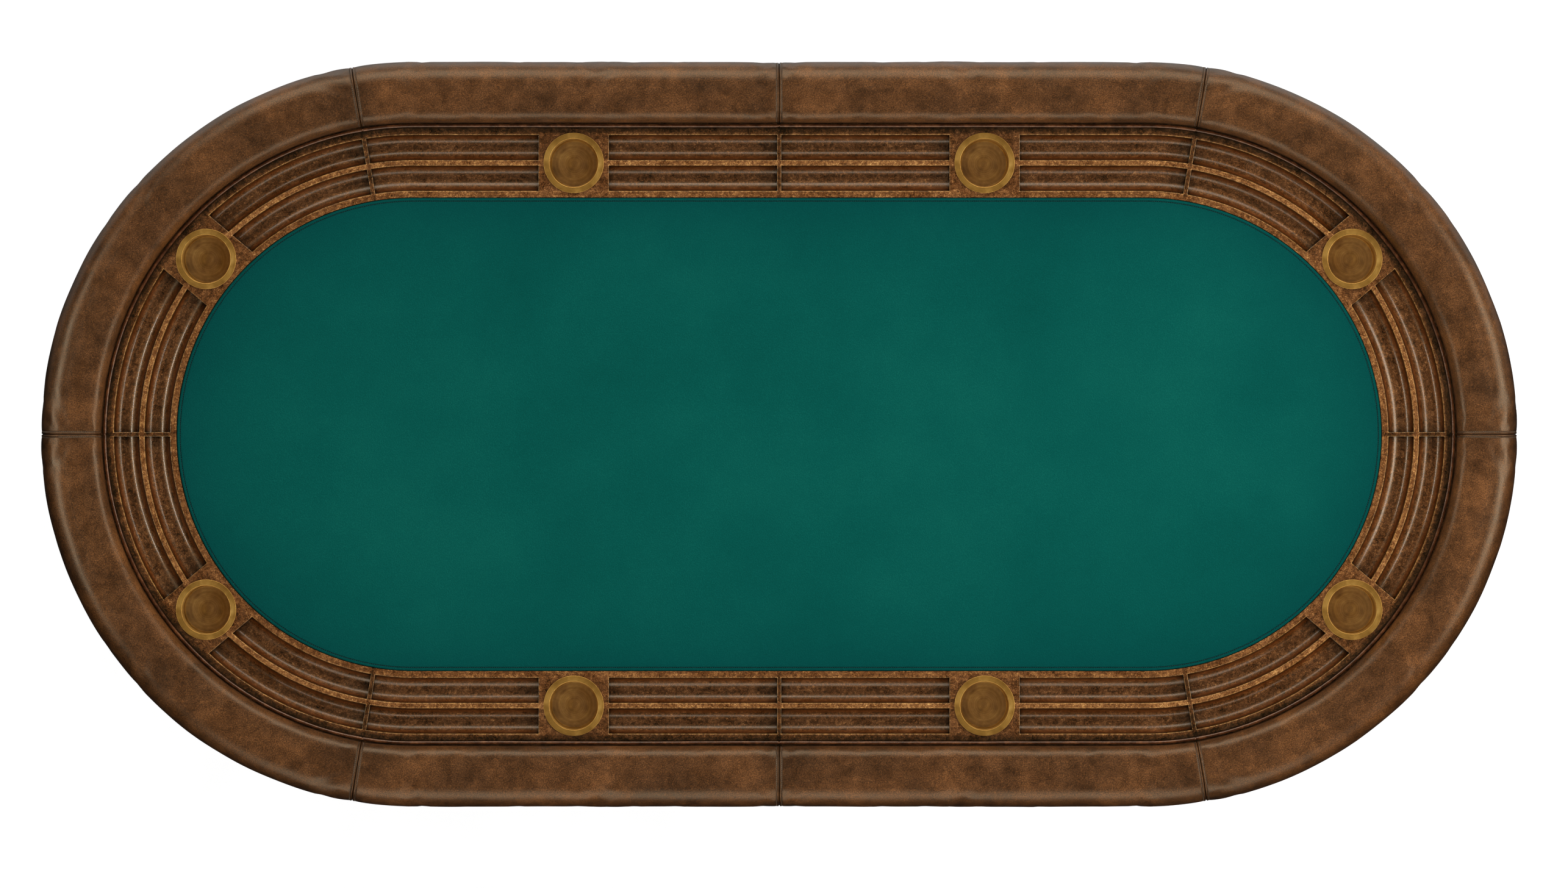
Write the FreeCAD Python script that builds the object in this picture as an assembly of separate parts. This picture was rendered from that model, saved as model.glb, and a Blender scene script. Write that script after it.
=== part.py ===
"""Racetrack poker table: padded top with a chip rail and drop-in cups, on a trestle base.

Millimetres, +Z up. The origin is on the floor under the middle of the table, and +X runs along its length.
The top is a racetrack: two straight sides joined by two half circles. Every ring-shaped piece is one cross
section, drawn as (radius, height), carried along that track. The table has eight seats. Seat 1 is the right
half of the back side, and the seats are numbered clockwise from above. One quarter holds a side seat and an
end seat, and the other three quarters are its mirror images.
"""

import FreeCAD
import Part

import math
import os

Vector = FreeCAD.Vector
UP = Vector(0, 0, 1)

# Driving dimensions of the plan.
TABLE_LENGTH = 2438.4
END_RADIUS = 615.2
HALF_STRAIGHT = TABLE_LENGTH / 2 - END_RADIUS
SEAM_ANGLE = 9.5

# Driving heights.
DECK_BOTTOM = 700.0
DECK_TOP = 718.0
RAIL_TOP = 745.0
CLOTH_TOP = 746.0
ARMREST_TOP = 777.0

# Radii of the track that each piece follows.
CLOTH_RADIUS = 390.2
RAIL_INNER = 391.0
RAIL_OUTER = 518.0
CORE_INNER = 520.8
CORE_OUTER = 599.0
ARMREST_INNER = 513.6
DECK_RADIUS = 563.8
APRON_OUTER = 582.0
APRON_THICKNESS = 18.0
APRON_SETBACK = 3.5
APRON_BEAD = 6.0

# Chip troughs: a chip stands on edge in a rounded channel.
TROUGH_WIDTH = 42.2
TROUGH_DEPTH = 18.5
TROUGH_RADII = (422.5, 473.2)
DIVIDER_WIDTH = 7.0
CUP_PAD_WIDTH = 116.0

# Drop-in cup holders.
CUP_TRACK_RADIUS = 448.0
CUP_FLANGE_RADIUS = 49.9
CUP_FLANGE_HEIGHT = 2.6
CUP_OUTER_RADIUS = 41.0
CUP_WALL = 1.5
CUP_DEPTH = 63.0
CUP_HOLE_RADIUS = 42.0

# Leather, cord and padding.
LEATHER = 2.0
WELT_RADIUS = 2.6
WELT_TRACK_RADIUS = 509.2
BOARD_THICKNESS = 18.0
FOAM_THICKNESS = 8.0
GAP = 0.2

# Armrest cross section: the leather's roundings, its crown and its two hems.
INNER_ROUND = 24.0
OUTER_ROUND = 38.2
UNDER_ROUND = 16.0
SHOULDER = ARMREST_TOP - 1.5
CROWN_RADIUS = 557.0
HEM_BOTTOM = 730.0
HEM_OUTER = CORE_INNER - GAP
UNDER_HEM_INNER = 566.0
CLOTH_ROLL = 3.0

# Under frame and apron.
APRON_BOTTOM = 612.0
APRON_TOP = 715.8
FRAME_BOTTOM = 640.0
FRAME_BAR = 28.0
FRAME_RAIL_Y = 200.0
FRAME_HALF_LENGTH = 1050.0
CROSSBAR_X = 985.0

# Trestle base.
PEDESTAL_X = 540.0
FOOT_WIDTH = 120.0
HEAD_WIDTH = 100.0
HEAD_BOTTOM = 590.0
HEAD_HALF_LENGTH = 330.0
FOOT_TOP = 104.0
FOOT_HALF_LENGTH = 430.0
FOOT_ARCH_HEIGHT = 24.0
BLOCK_HALF = 62.0
BLOCK_TOP = 318.0
NECK_BLOCK_HALF = 52.0
NECK_BLOCK_BOTTOM = 528.0
FOOT_TENON_RADIUS = 30.0
FOOT_TENON_LENGTH = 50.0
HEAD_TENON_RADIUS = 24.0
HEAD_TENON_LENGTH = 36.0

# Stretcher and its wedges.
STRETCHER_Z = 222.0
STRETCHER_HEIGHT = 96.0
STRETCHER_THICKNESS = 42.0
TENON_HEIGHT = 64.0
TENON_THICKNESS = 28.0
TENON_REACH = 58.0
WEDGE_THICKNESS = 14.0
WEDGE_TOP_DEPTH = 22.0
WEDGE_BOTTOM_DEPTH = 15.0
WEDGE_HALF_LENGTH = 58.0

# Levelling feet, screwed right up into recesses under the toes.
LEVELLER_Y = 350.0
RECESS_RADIUS = 27.0
RECESS_TOP = 15.5
PAD_RADIUS = 24.0
PAD_BOTTOM = 1.0
PAD_TOP = 9.0
STEM_RADIUS = 5.0
STEM_TOP = 48.0
STEM_NECK_RADIUS = 3.0
STEM_NECK_BOTTOM = 4.0
HEX_HEIGHT = 5.0
HEX_ACROSS_CORNERS = 19.6
INSERT_RADIUS = 8.0
INSERT_LENGTH = 25.0
RUNNING_CLEARANCE = 0.05
STEM_HOLE_RADIUS = 5.5
STEM_HOLE_TOP = 53.0

# Fasteners, with the first quarter's places for them.
SCREW_LENGTH = 34.0
SCREW_RADIUS = 2.2
SCREW_HEAD_RADIUS = 4.6
SCREW_HEAD_HEIGHT = 3.0
SCREW_TIP = 4.0
CUP_SCREW_OFFSET = 50.0
ARMREST_BOLT_TRACK_RADIUS = 546.0
ARMREST_BOLT_LENGTH = 36.0
ARMREST_BOLT_RADIUS = 4.0
HEAD_BOLT_LENGTH = 84.0
HEAD_BOLT_RADIUS = 5.0
HEAD_BOLT_SPREAD = 36.0
HOLE_CLEARANCE = 0.1
BOARD_SCREW_SPOTS = ((250, 330), (560, 330), (850, 160))
FRAME_SCREW_X = (160, 420, 700, 930)
ARMREST_BOLT_X = (170, 500)
ARMREST_BOLT_ANGLES = (30, 70)

# Glue blocks behind the apron.
BLOCK_SIZE = 30.0
BLOCK_GAP = 0.6
BLOCK_X = (80, 330, 590)
BLOCK_ANGLES = (50, 86)


# ---- Drawing helpers ----


def arc(centre, end):
    """A move of outline(): an arc of under half a turn about centre, to end."""
    return ("arc", centre, end)


def curve(*points):
    """A move of outline(): a smooth curve through points, ending at the last."""
    return ("curve", points)


def outline(start, *moves):
    """A closed face in the YZ plane from (y, z) points. A plain point is a straight line to it."""
    edges = []
    here = Vector(0, *start)
    for move in moves:
        if move[0] == "arc":
            centre, end = Vector(0, *move[1]), Vector(0, *move[2])
            half_way = (here - centre) + (end - centre)
            middle = centre + half_way.normalize() * (here - centre).Length
            edges.append(Part.Arc(here, middle, end).toShape())
        elif move[0] == "curve":
            points = [here] + [Vector(0, *p) for p in move[1]]
            spline = Part.BSplineCurve()
            spline.interpolate(points)
            edges.append(spline.toShape())
            end = points[-1]
        else:
            end = Vector(0, *move)
            edges.append(Part.makeLine(here, end))
        here = end
    first = Vector(0, *start)
    if (here - first).Length > 1e-6:
        edges.append(Part.makeLine(here, first))
    return Part.Face(Part.Wire(edges))


def rectangle(low, high):
    """A rectangular cross section from corner low to corner high."""
    return outline(low, (high[0], low[1]), high, (low[0], high[1]))


def solid(shape):
    """The one solid of a boolean result, with its split faces joined again."""
    merged = shape.removeSplitter()
    assert len(merged.Solids) == 1, f"expected one solid, found {len(merged.Solids)}"
    return merged.Solids[0]


def box(x, y, z):
    """A box between the pairs x, y and z."""
    return Part.makeBox(x[1] - x[0], y[1] - y[0], z[1] - z[0], Vector(x[0], y[0], z[0]))


def cylinder(radius, x, y, z):
    """An upright cylinder at x, y between the heights in z."""
    return Part.makeCylinder(radius, z[1] - z[0], Vector(x, y, z[0]))


def hexagon(across_corners, x, y, z):
    """An upright hexagonal prism at x, y between the heights in z."""
    corners = [math.radians(60 * k) for k in range(7)]
    half = across_corners / 2
    points = [Vector(x + half * math.cos(a), y + half * math.sin(a), z[0]) for a in corners]
    return Part.Face(Part.makePolygon(points)).extrude(UP * (z[1] - z[0]))


def mirrored(shape, x_sign, y_sign):
    """The shape carried from the quarter where x and y are positive to another one."""
    moved = shape.copy()
    if x_sign < 0:
        moved = moved.mirror(Vector(), Vector(1, 0, 0))
    if y_sign < 0:
        moved = moved.mirror(Vector(), Vector(0, 1, 0))
    return moved


QUARTERS = ((1, 1), (1, -1), (-1, -1), (-1, 1))


def in_every_quarter(*shapes):
    """All the shapes in all four quarters, as one flat list."""
    return [mirrored(shape, *signs) for signs in QUARTERS for shape in shapes]


# ---- The racetrack ----


def turned(shape, angle):
    """A shape drawn at the end of the straight, turned round the end's centre towards +X."""
    moved = shape.copy()
    moved.rotate(Vector(HALF_STRAIGHT, 0, 0), UP, -angle)
    return moved


def slab(radius, bottom, top):
    """A racetrack-shaped board."""
    left, right = Vector(-HALF_STRAIGHT, 0, bottom), Vector(HALF_STRAIGHT, 0, bottom)
    side = Vector(0, radius, 0)
    out = Vector(radius, 0, 0)
    edges = [
        Part.makeLine(left + side, right + side),
        Part.Arc(right + side, right + out, right - side).toShape(),
        Part.makeLine(right - side, left - side),
        Part.Arc(left - side, left - out, left + side).toShape(),
    ]
    return Part.Face(Part.Wire(edges)).extrude(UP * (top - bottom))


def along_arc(section, start, end):
    """The section carried round the end, from start to end degrees past the straight."""
    at_end = section.copy()
    at_end.translate(Vector(HALF_STRAIGHT, 0, 0))
    return turned(at_end, start).revolve(Vector(HALF_STRAIGHT, 0, 0), UP, start - end)


def side_seat(section):
    """The section along a side seat: half the straight, then round to the seam."""
    straight = section.extrude(Vector(HALF_STRAIGHT, 0, 0))
    return solid(straight.fuse(along_arc(section, 0, SEAM_ANGLE)))


def end_seat(section):
    """The section along an end seat: from the seam to the tip of the table."""
    return along_arc(section, SEAM_ANGLE, 90)


def ring(section):
    """The section carried all the way round the table."""
    quarter = section.extrude(Vector(HALF_STRAIGHT, 0, 0)).fuse(along_arc(section, 0, 90))
    quarters = in_every_quarter(quarter)
    return solid(quarters[0].multiFuse(quarters[1:]))


def per_seat(name, side, end):
    """Node names and shapes of a piece that every seat has, from its shapes at seats 1 and 2."""
    side_number = {(1, 1): 1, (1, -1): 4, (-1, -1): 5, (-1, 1): 8}
    end_number = {(1, 1): 2, (1, -1): 3, (-1, -1): 6, (-1, 1): 7}
    shapes = {}
    for signs in QUARTERS:
        shapes[f"{name}_{side_number[signs]}"] = [mirrored(side, *signs)]
        shapes[f"{name}_{end_number[signs]}"] = [mirrored(end, *signs)]
    return shapes


SIDE_CUP_X = (HALF_STRAIGHT + math.radians(SEAM_ANGLE) * CUP_TRACK_RADIUS) / 2
END_CUP_ANGLE = (SEAM_ANGLE + 90) / 2


def at_side_cup(shape):
    """A shape drawn on the plane X = 0, moved to the side seat's cup."""
    moved = shape.copy()
    moved.translate(Vector(SIDE_CUP_X, 0, 0))
    return moved


def at_end_cup(shape):
    """A shape drawn on the plane X = 0, moved to the end seat's cup."""
    moved = shape.copy()
    moved.translate(Vector(HALF_STRAIGHT, 0, 0))
    return turned(moved, END_CUP_ANGLE)


def at_every_cup(*shapes):
    """The shapes, drawn on the plane X = 0, at all eight cups."""
    placed = [move(shape) for shape in shapes for move in (at_side_cup, at_end_cup)]
    return in_every_quarter(*placed)


# ---- Fasteners ----


def screw(x, y, z, direction=1, clearance=0.0):
    """A countersunk wood screw with its head at height z. It points up, or down if direction is -1."""
    head, shank = SCREW_HEAD_RADIUS + clearance, SCREW_RADIUS + clearance
    length = SCREW_LENGTH + clearance
    body = outline(
        (0, 0),
        (head, 0),
        (shank, SCREW_HEAD_HEIGHT),
        (shank, length - SCREW_TIP),
        (0, length),
    ).revolve(Vector(), UP, 360)
    if direction < 0:
        body.rotate(Vector(), Vector(1, 0, 0), 180)
    body.translate(Vector(x, y, z))
    return body


def bolt(x, y, z, radius, length):
    """A flanged hex bolt whose head hangs below height z and whose shank points up."""
    flange_height = 1.5
    flange = cylinder(radius * 2.2, x, y, (z - flange_height, z))
    head = hexagon(radius * 3.7, x, y, (z - flange_height - radius * 1.3, z - flange_height))
    shank = cylinder(radius, x, y, (z, z + length))
    return solid(flange.fuse([head, shank]))


def hole(x, y, z, radius, length):
    """What a bolt's shank takes out of the pieces that it passes through."""
    return cylinder(radius + HOLE_CLEARANCE, x, y, (z, z + length + 1))


def cup_screws(clearance=0.0):
    """Two screws beside every cup, up through the deck into the rail."""
    offsets = (-CUP_SCREW_OFFSET, CUP_SCREW_OFFSET)
    return at_every_cup(*[screw(dx, CUP_TRACK_RADIUS, DECK_BOTTOM, 1, clearance) for dx in offsets])


def board_screws(clearance=0.0):
    """Screws up through the deck into the playing board."""
    return in_every_quarter(*[screw(x, y, DECK_BOTTOM, 1, clearance) for x, y in BOARD_SCREW_SPOTS])


def frame_screws(clearance=0.0):
    """Screws down through the deck into the frame rails."""
    return in_every_quarter(*[screw(x, FRAME_RAIL_Y, DECK_TOP, -1, clearance) for x in FRAME_SCREW_X])


def armrest_bolt_spots():
    """Where the bolts that hold the armrest down stand in the first quarter."""
    radius = ARMREST_BOLT_TRACK_RADIUS
    side = [(x, radius) for x in ARMREST_BOLT_X]
    angles = [math.radians(a) for a in ARMREST_BOLT_ANGLES]
    return side + [(HALF_STRAIGHT + radius * math.sin(a), radius * math.cos(a)) for a in angles]


def head_bolt_spots():
    """Where the bolts between a pedestal head and a frame rail stand in the first quarter."""
    return [(PEDESTAL_X + dx, FRAME_RAIL_Y) for dx in (-HEAD_BOLT_SPREAD, HEAD_BOLT_SPREAD)]


def at_armrest_bolts(make):
    """make, which is bolt or hole, at every armrest bolt."""
    size = (DECK_BOTTOM, ARMREST_BOLT_RADIUS, ARMREST_BOLT_LENGTH)
    return in_every_quarter(*[make(x, y, *size) for x, y in armrest_bolt_spots()])


def at_head_bolts(make):
    """make, which is bolt or hole, at every bolt through a pedestal head."""
    size = (HEAD_BOTTOM, HEAD_BOLT_RADIUS, HEAD_BOLT_LENGTH)
    return in_every_quarter(*[make(x, y, *size) for x, y in head_bolt_spots()])


# ---- Armrest ----


def armrest_skin(inset):
    """Moves over the armrest from its inner foot to its under side, inset from the leather's surface."""
    inner_end = (ARMREST_INNER + INNER_ROUND, SHOULDER - inset)
    outer_start = (END_RADIUS - OUTER_ROUND, SHOULDER - inset)
    side_top = (END_RADIUS - inset, SHOULDER - OUTER_ROUND)
    side_bottom = (END_RADIUS - inset, DECK_TOP - LEATHER + UNDER_ROUND)
    return [
        (ARMREST_INNER + inset, SHOULDER - INNER_ROUND),
        arc((ARMREST_INNER + INNER_ROUND, SHOULDER - INNER_ROUND), inner_end),
        curve((CROWN_RADIUS, ARMREST_TOP - inset), outer_start),
        arc((END_RADIUS - OUTER_ROUND, SHOULDER - OUTER_ROUND), side_top),
        side_bottom,
        arc(
            (END_RADIUS - UNDER_ROUND, DECK_TOP - LEATHER + UNDER_ROUND),
            (END_RADIUS - UNDER_ROUND, DECK_TOP - LEATHER + inset),
        ),
    ]


def armrest_envelope(inset):
    """The armrest's whole cross section, inset from the leather's outer surface, with a flat foot."""
    foot = RAIL_TOP + GAP + inset
    return outline(
        (ARMREST_INNER + inset, foot),
        *armrest_skin(inset),
        (HEM_OUTER, DECK_TOP - LEATHER + inset),
        (HEM_OUTER, foot),
    )


def armrest_cover_section():
    """The leather: over the foam, with one hem tucked down behind the rail and one turned under the core."""
    shell = armrest_envelope(0).cut(armrest_envelope(LEATHER))
    hem = rectangle((HEM_OUTER - LEATHER, HEM_BOTTOM), (HEM_OUTER, RAIL_TOP + GAP + LEATHER))
    below_core = rectangle((HEM_OUTER - 1, 0), (UNDER_HEM_INNER, RAIL_TOP))
    return shell.cut(below_core).fuse(hem).removeSplitter().Faces[0]


def armrest_foam_section():
    """The padding between the leather and the core."""
    inside = armrest_envelope(LEATHER + GAP)
    core = rectangle((0, 0), (CORE_OUTER + GAP, RAIL_TOP - 1 + GAP))
    return inside.cut(core).Faces[0]


def armrest_parts():
    cover, foam = armrest_cover_section(), armrest_foam_section()
    core = rectangle((CORE_INNER, DECK_TOP), (CORE_OUTER, RAIL_TOP - 1))
    cord = Part.makeCircle(
        WELT_RADIUS, Vector(0, WELT_TRACK_RADIUS, RAIL_TOP + WELT_RADIUS), Vector(1, 0, 0)
    )
    parts = per_seat("armrest_cover", side_seat(cover), end_seat(cover))
    parts["armrest_foam"] = in_every_quarter(side_seat(foam), end_seat(foam))
    holes = at_armrest_bolts(hole)
    lengths = in_every_quarter(side_seat(core), end_seat(core))
    parts["armrest_core"] = [length.cut(holes) for length in lengths]
    parts["armrest_welt"] = [ring(Part.Face(Part.Wire(cord)))]
    parts["armrest_bolts"] = at_armrest_bolts(bolt)
    return parts


# ---- Chip rail and cups ----


def trough_section(track_radius):
    """The rounded channel that a chip stands in, open at the top."""
    half = TROUGH_WIDTH / 2
    bottom = (track_radius, RAIL_TOP - TROUGH_DEPTH)
    start, end = (track_radius - half, RAIL_TOP), (track_radius + half, RAIL_TOP)
    bowl = Part.Arc(Vector(0, *start), Vector(0, *bottom), Vector(0, *end)).toShape()
    lid = [(track_radius + half, RAIL_TOP + 1), (track_radius - half, RAIL_TOP + 1)]
    corners = [Vector(0, *p) for p in (end, *lid, start)]
    sides = [Part.makeLine(a, b) for a, b in zip(corners, corners[1:])]
    return Part.Face(Part.Wire([bowl, *sides]))


def solid_places():
    """What the troughs leave standing in the first quarter: the dividers and the pads round the cups."""
    radial = (RAIL_INNER, RAIL_OUTER)
    height = (DECK_TOP, RAIL_TOP + 1)
    divider = box((-DIVIDER_WIDTH / 2, DIVIDER_WIDTH / 2), radial, height)
    at_end = box((HALF_STRAIGHT - DIVIDER_WIDTH / 2, HALF_STRAIGHT + DIVIDER_WIDTH / 2), radial, height)
    pad = box((-CUP_PAD_WIDTH / 2, CUP_PAD_WIDTH / 2), radial, height)
    return [divider, turned(at_end, SEAM_ANGLE), turned(at_end, 90), at_side_cup(pad), at_end_cup(pad)]


def rail_segment(carry, cup_hole):
    """One seat's length of rail, carried along the track by side_seat or end_seat."""
    blank = carry(rectangle((RAIL_INNER, DECK_TOP), (RAIL_OUTER, RAIL_TOP)))
    troughs = [carry(trough_section(r)).cut(solid_places()) for r in TROUGH_RADII]
    return solid(blank.cut([*troughs, cup_hole, *cup_screws(HOLE_CLEARANCE)]))


def cup():
    """A spun brass cup with a flat flange, drawn on the plane X = 0."""
    top = RAIL_TOP + CUP_FLANGE_HEIGHT
    bottom = RAIL_TOP - CUP_DEPTH
    inner = CUP_OUTER_RADIUS - CUP_WALL
    edge, lip, corner = 1.2, 1.4, 6.0
    floor = bottom + CUP_WALL
    section = outline(
        (0, bottom),
        (CUP_OUTER_RADIUS - corner, bottom),
        arc((CUP_OUTER_RADIUS - corner, bottom + corner), (CUP_OUTER_RADIUS, bottom + corner)),
        (CUP_OUTER_RADIUS, RAIL_TOP),
        (CUP_FLANGE_RADIUS, RAIL_TOP),
        (CUP_FLANGE_RADIUS, top - edge),
        arc((CUP_FLANGE_RADIUS - edge, top - edge), (CUP_FLANGE_RADIUS - edge, top)),
        (inner + lip, top),
        arc((inner + lip, top - lip), (inner, top - lip)),
        (inner, floor + corner - CUP_WALL),
        arc((inner - corner + CUP_WALL, floor + corner - CUP_WALL), (inner - corner + CUP_WALL, floor)),
        (0, floor),
    )
    shape = section.revolve(Vector(), UP, 360)
    shape.translate(Vector(0, CUP_TRACK_RADIUS, 0))
    return shape


def rail_parts():
    well = cylinder(CUP_HOLE_RADIUS, 0, CUP_TRACK_RADIUS, (DECK_TOP, RAIL_TOP))
    side = rail_segment(side_seat, at_side_cup(well))
    end = rail_segment(end_seat, at_end_cup(well))
    return {
        **per_seat("chip_rail", side, end),
        **per_seat("cup_holder", at_side_cup(cup()), at_end_cup(cup())),
    }


# ---- Playing surface, deck and frame ----


def playing_cloth():
    """The cloth: flat over the foam, rolled over the edge and down the side of the board."""
    blank = slab(CLOTH_RADIUS, DECK_TOP + 4, CLOTH_TOP)
    edges = [e for e in blank.Edges if all(abs(v.Z - CLOTH_TOP) < 1e-6 for v in e.Vertexes)]
    inside = slab(CLOTH_RADIUS - LEATHER, DECK_TOP, CLOTH_TOP - LEATHER)
    return solid(blank.makeFillet(CLOTH_ROLL, edges).cut(inside))


def playing_parts():
    inner = CLOTH_RADIUS - LEATHER - GAP
    board_top = DECK_TOP + BOARD_THICKNESS
    board = slab(inner, DECK_TOP, board_top).cut(board_screws(HOLE_CLEARANCE))
    foam = slab(inner, board_top, board_top + FOAM_THICKNESS)
    return {"playing_board": [board], "playing_foam": [foam], "playing_cloth": [playing_cloth()]}


def deck():
    wells = at_every_cup(cylinder(CUP_HOLE_RADIUS, 0, CUP_TRACK_RADIUS, (DECK_BOTTOM, DECK_TOP)))
    screws = cup_screws(HOLE_CLEARANCE) + board_screws(HOLE_CLEARANCE) + frame_screws(HOLE_CLEARANCE)
    return slab(DECK_RADIUS, DECK_BOTTOM, DECK_TOP).cut(wells + screws + at_armrest_bolts(hole))


def apron_section():
    """A flat band with a round bead standing proud along its bottom edge, and a quirk above the bead."""
    inner, face = APRON_OUTER - APRON_THICKNESS, APRON_OUTER - APRON_SETBACK
    bead = (APRON_OUTER - APRON_BEAD, APRON_BOTTOM + APRON_BEAD)
    bead_top = (bead[0] + 1, bead[1] + math.sqrt(APRON_BEAD**2 - 1))
    return outline(
        (inner, APRON_TOP),
        (inner, APRON_BOTTOM),
        (bead[0], APRON_BOTTOM),
        arc(bead, (APRON_OUTER, bead[1])),
        arc(bead, bead_top),
        (face - 1, bead_top[1] + 1),
        (face, bead_top[1] + 3),
        (face, APRON_TOP),
    )


def apron_parts():
    section = apron_section()
    side = section.extrude(Vector(2 * HALF_STRAIGHT, 0, 0))
    side.translate(Vector(-HALF_STRAIGHT, 0, 0))
    end = along_arc(section, 0, 180)
    return {
        "apron_back": [side],
        "apron_front": [mirrored(side, 1, -1)],
        "apron_right": [end],
        "apron_left": [mirrored(end, -1, 1)],
    }


def corner_blocks():
    """Glue blocks that hold the apron to the deck."""
    half = BLOCK_SIZE / 2
    outer = APRON_OUTER - APRON_THICKNESS - BLOCK_GAP
    radial, height = (outer - BLOCK_SIZE, outer), (DECK_BOTTOM - BLOCK_SIZE, DECK_BOTTOM)
    side = [box((x - half, x + half), radial, height) for x in BLOCK_X]
    at_end = box((HALF_STRAIGHT - half, HALF_STRAIGHT + half), radial, height)
    return in_every_quarter(*side, *[turned(at_end, angle) for angle in BLOCK_ANGLES])


def frame_parts():
    half = FRAME_BAR / 2
    holes = at_head_bolts(hole) + frame_screws(HOLE_CLEARANCE)
    rail = box(
        (-FRAME_HALF_LENGTH, FRAME_HALF_LENGTH),
        (FRAME_RAIL_Y - half, FRAME_RAIL_Y + half),
        (FRAME_BOTTOM, DECK_BOTTOM),
    )
    chamfered = [e for e in rail.Edges if all(abs(v.Z - FRAME_BOTTOM) < 1e-6 for v in e.Vertexes)]
    rail = rail.makeChamfer(4.0, chamfered)
    crossbar = box(
        (CROSSBAR_X - half, CROSSBAR_X + half),
        (-FRAME_RAIL_Y + half, FRAME_RAIL_Y - half),
        (FRAME_BOTTOM + 8, DECK_BOTTOM),
    )
    return {
        "frame_rail_back": [rail.cut(holes)],
        "frame_rail_front": [mirrored(rail, 1, -1).cut(holes)],
        "frame_crossbar_right": [crossbar],
        "frame_crossbar_left": [mirrored(crossbar, -1, 1)],
    }


# ---- Trestle base ----


def across_base(section, width):
    """A section in the YZ plane made into a beam of that width at the right pedestal."""
    beam = section.extrude(Vector(width, 0, 0))
    beam.translate(Vector(PEDESTAL_X - width / 2, 0, 0))
    return beam


def pedestal_head():
    """The beam under the frame, with an ogee at each end."""
    end, tall = HEAD_HALF_LENGTH, FRAME_BOTTOM - HEAD_BOTTOM
    middle = HEAD_BOTTOM + tall * 0.5
    section = outline(
        (-end, FRAME_BOTTOM),
        (-end, middle + 8),
        curve((-end + 16, middle - 2), (-end + 44, middle - 12), (-end + 62, HEAD_BOTTOM)),
        (end - 62, HEAD_BOTTOM),
        curve((end - 44, middle - 12), (end - 16, middle - 2), (end, middle + 8)),
        (end, FRAME_BOTTOM),
    )
    depth = (HEAD_BOTTOM, HEAD_BOTTOM + HEAD_TENON_LENGTH + 1)
    socket = cylinder(HEAD_TENON_RADIUS + HOLE_CLEARANCE, PEDESTAL_X, 0, depth)
    beam = across_base(section, HEAD_WIDTH)
    return solid(beam.cut([socket, *at_head_bolts(hole)]))


def pedestal_foot():
    """The sled foot: flat under the column, falling in an ogee to each toe, arched underneath."""
    end = FOOT_HALF_LENGTH
    flat, shoulder = BLOCK_HALF + 14, FOOT_TOP - 10
    arch_start, arch_end = 300.0, 255.0
    ogee = [(120, 84), (190, 70), (260, 65), (330, 63), (385, 57), (418, 45)]
    section = outline(
        (-flat, FOOT_TOP),
        (flat, FOOT_TOP),
        (flat, shoulder),
        curve(*ogee, (end, 28)),
        (end, 3),
        (end - 3, 0),
        (arch_start, 0),
        curve((arch_start - 14, FOOT_ARCH_HEIGHT - 9), (arch_end, FOOT_ARCH_HEIGHT)),
        (-arch_end, FOOT_ARCH_HEIGHT),
        curve((-arch_start + 14, FOOT_ARCH_HEIGHT - 9), (-arch_start, 0)),
        (-end + 3, 0),
        (-end, 3),
        (-end, 28),
        curve(*[(-y, z) for y, z in reversed(ogee)], (-flat, shoulder)),
    )
    beam = across_base(section, FOOT_WIDTH)
    depth = (FOOT_TOP - FOOT_TENON_LENGTH - 1, FOOT_TOP)
    sockets = [cylinder(FOOT_TENON_RADIUS + HOLE_CLEARANCE, PEDESTAL_X, 0, depth)]
    insert_top = RECESS_TOP + INSERT_LENGTH
    for y in (-LEVELLER_Y, LEVELLER_Y):
        sockets.append(cylinder(RECESS_RADIUS, PEDESTAL_X, y, (-1, RECESS_TOP)))
        sockets.append(cylinder(INSERT_RADIUS, PEDESTAL_X, y, (RECESS_TOP, insert_top)))
        sockets.append(cylinder(STEM_HOLE_RADIUS, PEDESTAL_X, y, (insert_top, STEM_HOLE_TOP)))
    return solid(beam.cut(sockets))


def turned_shaft():
    """The lathe-turned part of the column, between its two square blocks."""
    low, high = BLOCK_TOP, NECK_BLOCK_BOTTOM
    neck = (34, low + 174)
    section = outline(
        (0, low),
        (50, low),
        curve((57, low + 4), (59, low + 10), (57, low + 16), (50, low + 20)),
        (46, low + 20),
        curve((42, low + 26), (42, low + 32)),
        (46, low + 36),
        curve((58, low + 58), (61, low + 78), (56, low + 104), (44, low + 138), (35, low + 166), neck),
        (38, low + 176),
        curve((42, low + 181), (42, low + 185), (38, low + 190)),
        (34, low + 190),
        curve((36, low + 200), (46, high)),
        (0, high),
    )
    shaft = section.revolve(Vector(), UP, 360)
    shaft.translate(Vector(PEDESTAL_X, 0, 0))
    return shaft


def square_block(half, bottom, top, chamfer):
    """A square block of the column with its upright edges taken off."""
    block = box((PEDESTAL_X - half, PEDESTAL_X + half), (-half, half), (bottom, top))
    upright = [e for e in block.Edges if abs(e.Vertexes[0].Z - e.Vertexes[1].Z) > 1]
    return block.makeChamfer(chamfer, upright)


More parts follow.
